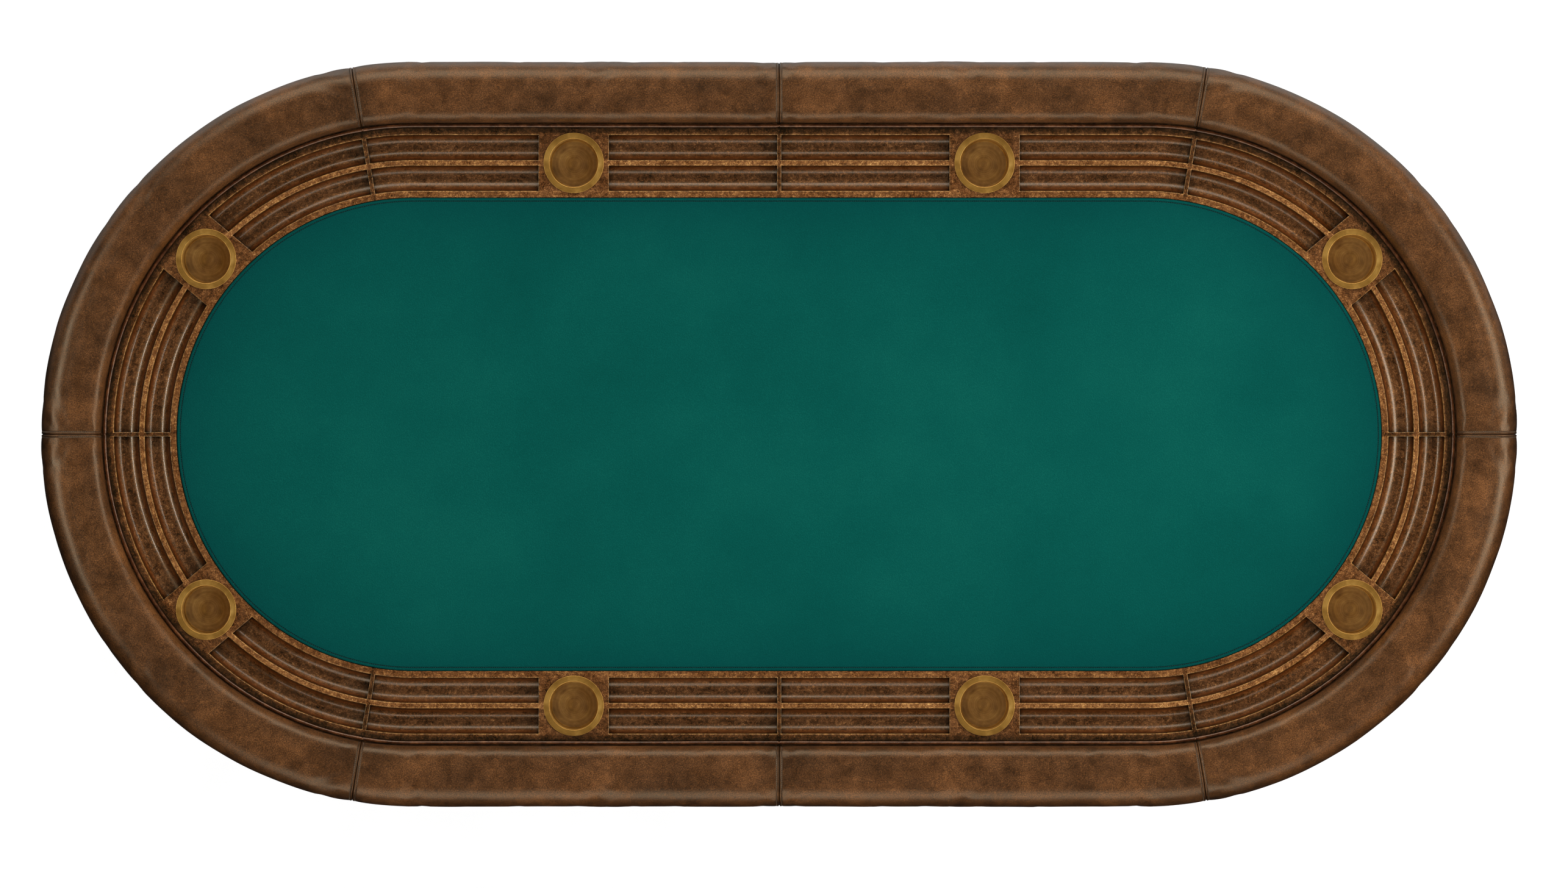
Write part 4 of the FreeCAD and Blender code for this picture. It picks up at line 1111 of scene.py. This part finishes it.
def playing_cloth(material):
    """The cloth as a thin closed skin over board and foam, with a rolled edge and a stitched groove."""
    count = 360
    s = np.linspace(0, track_length(CLOTH_RADIUS), count, endpoint=False)
    cx, turn = stations(s, CLOTH_RADIUS)
    inset, height = cloth_rings().T[:, :, None]
    outside = on_track(cx, turn, CLOTH_RADIUS - inset, height)
    ease = np.clip((inset - 12 * MM) / (60 * MM), 0, 1)
    unevenness = 0.25 * MM * ease * waves(outside[..., 0], outside[..., 1], 0.34, seed=31)
    outside[..., 2] += unevenness - 0.15 * MM * ease
    lining_heights = (CLOTH_TOP - CLOTH_SKIN, CLOTH_BOTTOM)
    lining = [on_track(cx, turn, CLOTH_RADIUS - CLOTH_SKIN, z) for z in lining_heights]
    ring = np.concatenate([lining, outside])
    faces = [f[::-1] for f in grid_faces(len(ring), count, close_columns=True)]
    faces.append(list(range(count))[::-1])
    rim = np.concatenate([[0, 0], fade(inset.ravel(), 70 * MM)])
    # Painted shade along the groove.
    painted_shade = np.concatenate([[0, 0], bell(inset.ravel() - CLOTH_GROOVE, 0.7 * MM)])
    values = {"rim": np.repeat(rim, count), "painted_shade": np.repeat(painted_shade, count)}
    piece = mesh_piece("playing_surface", ring.reshape(-1, 3), faces, material, values)
    weld = piece.modifiers.new("join_middle", "WELD")
    weld.merge_threshold = 0.02 * MM
    ride_table(piece, "playing_cloth", "playing_cloth")


def cloth_stitches(material):
    """One line of topstitching in the cloth's groove."""
    radius = CLOTH_RADIUS - CLOTH_GROOVE
    s = np.arange(0, track_length(radius), CLOTH_STITCH_PITCH)
    cx, turn = stations(s, radius)
    centres = on_track(cx, turn, radius, CLOTH_TOP - 0.62 * MM)
    along = np.stack([np.cos(turn), -np.sin(turn), 0 * turn], axis=-1)
    up = np.broadcast_to([0.0, 0.0, 1.0], along.shape)
    piece = stitches("cloth_stitching", centres, along, up, 0.34 * MM, material, sides=5)
    ride_table(piece, "playing_cloth")


# ---- Foam, deck and base ----


def armrest_padding(material):
    """The foam under the leather, cut at each seam, set in far enough to clear the sewn grooves."""
    inset = LEATHER + 4.5 * MM
    core_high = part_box("armrest_core")[1]
    core_side, core_top = core_high.y + 1 * MM, core_high.z + 1 * MM
    line = PROFILE - PROFILE_NORMAL * inset
    line = line[line[:, 1] > core_top]
    foot = [(core_side, line[-1, 1]), (core_side, core_top), (line[0, 0], core_top)]
    radius, height = np.concatenate([line, foot]).T
    for seat in SEATS:
        start, end = PANEL_SPANS[seat]
        s = np.linspace(start + 0.4 * MM, end - 0.4 * MM, 60)[:, None]
        ring = on_track(*stations(s, ARMREST_TRACK), radius, height)
        piece = sweep(f"armrest_padding_{seat}", ring, material)
        replaced = ["armrest_foam"] if seat == 1 else []
        ride_table(piece, "upholstery_foam", *replaced)


def soften_edges(piece, width):
    """Rounds the sharp edges of a CAD node's object as a hand plane would, with modifiers only."""
    weld = piece.modifiers.new("weld", "WELD")
    weld.merge_threshold = 0.01 * MM
    bevel = piece.modifiers.new("eased_edges", "BEVEL")
    bevel.width = width
    bevel.segments = 3
    bevel.limit_method = "ANGLE"
    bevel.angle_limit = math.radians(32)
    bevel.harden_normals = True


# Finishes of the CAD nodes whose own shapes are shown, by how their names start. A later line wins.
FINISHES = {
    "x": ("apron_back", "apron_front", "frame_rail", "stretcher"),
    "y": ("frame_crossbar", "pedestal_head", "pedestal_foot"),
    "z": ("pedestal_column", "stretcher_wedges"),
    "track": ("apron_right", "apron_left"),
    "plywood": ("armrest_core", "playing_board", "deck_board", "apron_blocks"),
    "foam": ("playing_foam",),
    "steel": ("armrest_bolts", "deck_screws", "pedestal_bolts", "leveller_inserts", "leveller_stem"),
    "rubber": ("leveller_pad",),
}
EASED_EDGES = {"pedestal_foot": 2.5 * MM, "pedestal_head": 2.0 * MM, "pedestal_column": 1.2 * MM}


def dress_frame(soft):
    """Gives the CAD nodes their finishes, and eases the edges of the base."""
    materials = {axis: stained_wood(axis) for axis in GRAIN}
    materials.update({"plywood": plywood(), "foam": soft, "steel": steel(), "rubber": rubber()})
    for finish, starts in FINISHES.items():
        for node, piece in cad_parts.items():
            if node.startswith(starts):
                piece.data.materials.clear()
                piece.data.materials.append(materials[finish])
    for start, width in EASED_EDGES.items():
        for node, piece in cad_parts.items():
            if node.startswith(start):
                soften_edges(piece, width)


# ---- Studio ----


FLOOR_HALF = 40.0
AMBIENT = 0.022
BACKDROP = 0.85

# Each lamp: its turn round the table and angle down from the zenith, in degrees, distance, size and power.
LAMPS = {
    "back_softbox": (0, 62, 5.0, (7.5, 2.8), 218),
    "front_softbox": (180, 62, 5.0, (6.0, 2.8), 128),
    "right_softbox": (90, 60, 4.6, (3.6, 1.3), 104),
    "left_strip": (-90, 56, 4.6, (3.0, 0.26), 58),
}
CAMERA_ABOVE = 16.0
CAMERA_AIM = (8 * MM, -16 * MM)
FRAME_WIDTH = 2585 * MM


def studio_floor():
    """A pale floor. It bounces little light except behind the table, glows far behind it in reflections, and
    isn't there from below.
    """
    n = Nodes("studio_floor")
    path = n.add("ShaderNodeLightPath").node.outputs
    grain = n.noise(n.place(), 6.0, 3.0)
    pale = n.ramp(grain, (0.3, (152, 152, 151)), (0.7, (160, 160, 159)))
    depth = n.parts(n.place())["Y"]
    bounce = n.mix(n.span(depth, 0.2, 1.0), (48, 47, 46), (200, 199, 197))
    colour = n.mix(path["Is Camera Ray"], bounce, pale)
    # Painted reflection: far behind the table the floor glows for glossy rays only, for a sheen on the
    # armrest's back edge.
    mirrored = n.times(path["Is Glossy Ray"], n.span(depth, 1.0, 2.0))
    glow = n.total((path["Is Camera Ray"], 0.83), (mirrored, 0.8))
    from_below = n.add("ShaderNodeNewGeometry").node.outputs["Backfacing"]
    light = {"Specular_IOR_Level": 0.0, "Emission_Color": (1, 1, 1, 1), "Emission_Strength": glow}
    material = n.finish(colour, 0.9, Alpha=n.less(1.0, from_below), **light)
    corners = [(x * FLOOR_HALF, y * FLOOR_HALF, 0) for x, y in ((-1, -1), (1, -1), (1, 1), (-1, 1))]
    mesh_piece("studio_floor", corners, [[0, 1, 2, 3]], material, smooth=False)


def studio_world():
    """A dim even room for the object, and a pale one for the camera."""
    n = Nodes("studio", "worlds")
    bpy.context.scene.world = n.owner
    seen = n.add("ShaderNodeLightPath", output="Is Camera Ray")
    ambient, backdrop = ((grey, grey, grey, 1) for grey in (AMBIENT, BACKDROP))
    inputs = {MIX_FACTOR: seen, MIX_A: ambient, MIX_B: backdrop}
    colour = n.add("ShaderNodeMix", inputs, output=MIX_RESULT, data_type="RGBA")
    light = n.add("ShaderNodeBackground", {"Color": colour})
    n.add("ShaderNodeOutputWorld", {"Surface": light}, output=None)


def softbox(name, place, size, power):
    """A rectangular lamp aimed at the middle of the table top."""
    data = bpy.data.lights.new(name, "AREA")
    data.shape = "RECTANGLE"
    data.size, data.size_y = size
    data.energy = power
    lamp = bpy.data.objects.new(name, data)
    bpy.context.scene.collection.objects.link(lamp)
    lamp.location = place
    aim = Vector((0, 0, RAIL_TOP)) - Vector(place)
    lamp.rotation_euler = aim.to_track_quat("-Z", "Y").to_euler()
    return lamp


def studio_lights():
    """Softboxes round the table, a strip that only glints, and a fill from above that doesn't."""
    for name, (turn, zenith, reach, size, power) in LAMPS.items():
        turn, zenith = math.radians(turn), math.radians(zenith)
        out = reach * math.sin(zenith)
        place = (out * math.sin(turn), out * math.cos(turn), RAIL_TOP + reach * math.cos(zenith))
        lamp = softbox(name, place, size, power)
        lamp.visible_diffuse = "strip" not in name
    fill = softbox("overhead_fill", (0.4, 0, RAIL_TOP + 3.6), (5.0, 3.5), 70)
    fill.visible_glossy = False


def studio_camera():
    """Looks straight down on the table from high above, a little to the right of and below its middle."""
    data = bpy.data.cameras.new("overhead")
    data.sensor_width = 36.0
    data.lens = data.sensor_width * CAMERA_ABOVE / FRAME_WIDTH
    data.clip_end = 100
    camera = bpy.data.objects.new("overhead", data)
    camera.location = (*CAMERA_AIM, ARMREST_TOP - 12 * MM + CAMERA_ABOVE)
    bpy.context.scene.collection.objects.link(camera)
    bpy.context.scene.camera = camera


# ---- Assembly ----


def main():
    bpy.context.scene.view_settings.view_transform = "Standard"
    soft = foam()
    dress_frame(soft)
    leather = armrest_leather()
    SWELL.update({seat: sewn_swell(seat, leather) for seat in (1, 2)})
    for seat in SEATS:
        armrest_panel(seat, leather)
    seam_stitches(thread("armrest_thread", (44, 30, 18), (128, 98, 66)))
    welt(welt_leather())
    armrest_padding(soft)
    chip_rail(antiqued_rail())
    brass = brushed_brass()
    for seat in SEATS:
        cup_holder(seat, brass)
    playing_cloth(playing_cloth_material())
    cloth_stitches(thread("cloth_thread", (2, 34, 32), (12, 66, 60)))
    studio_floor()
    studio_world()
    studio_lights()
    studio_camera()


main()
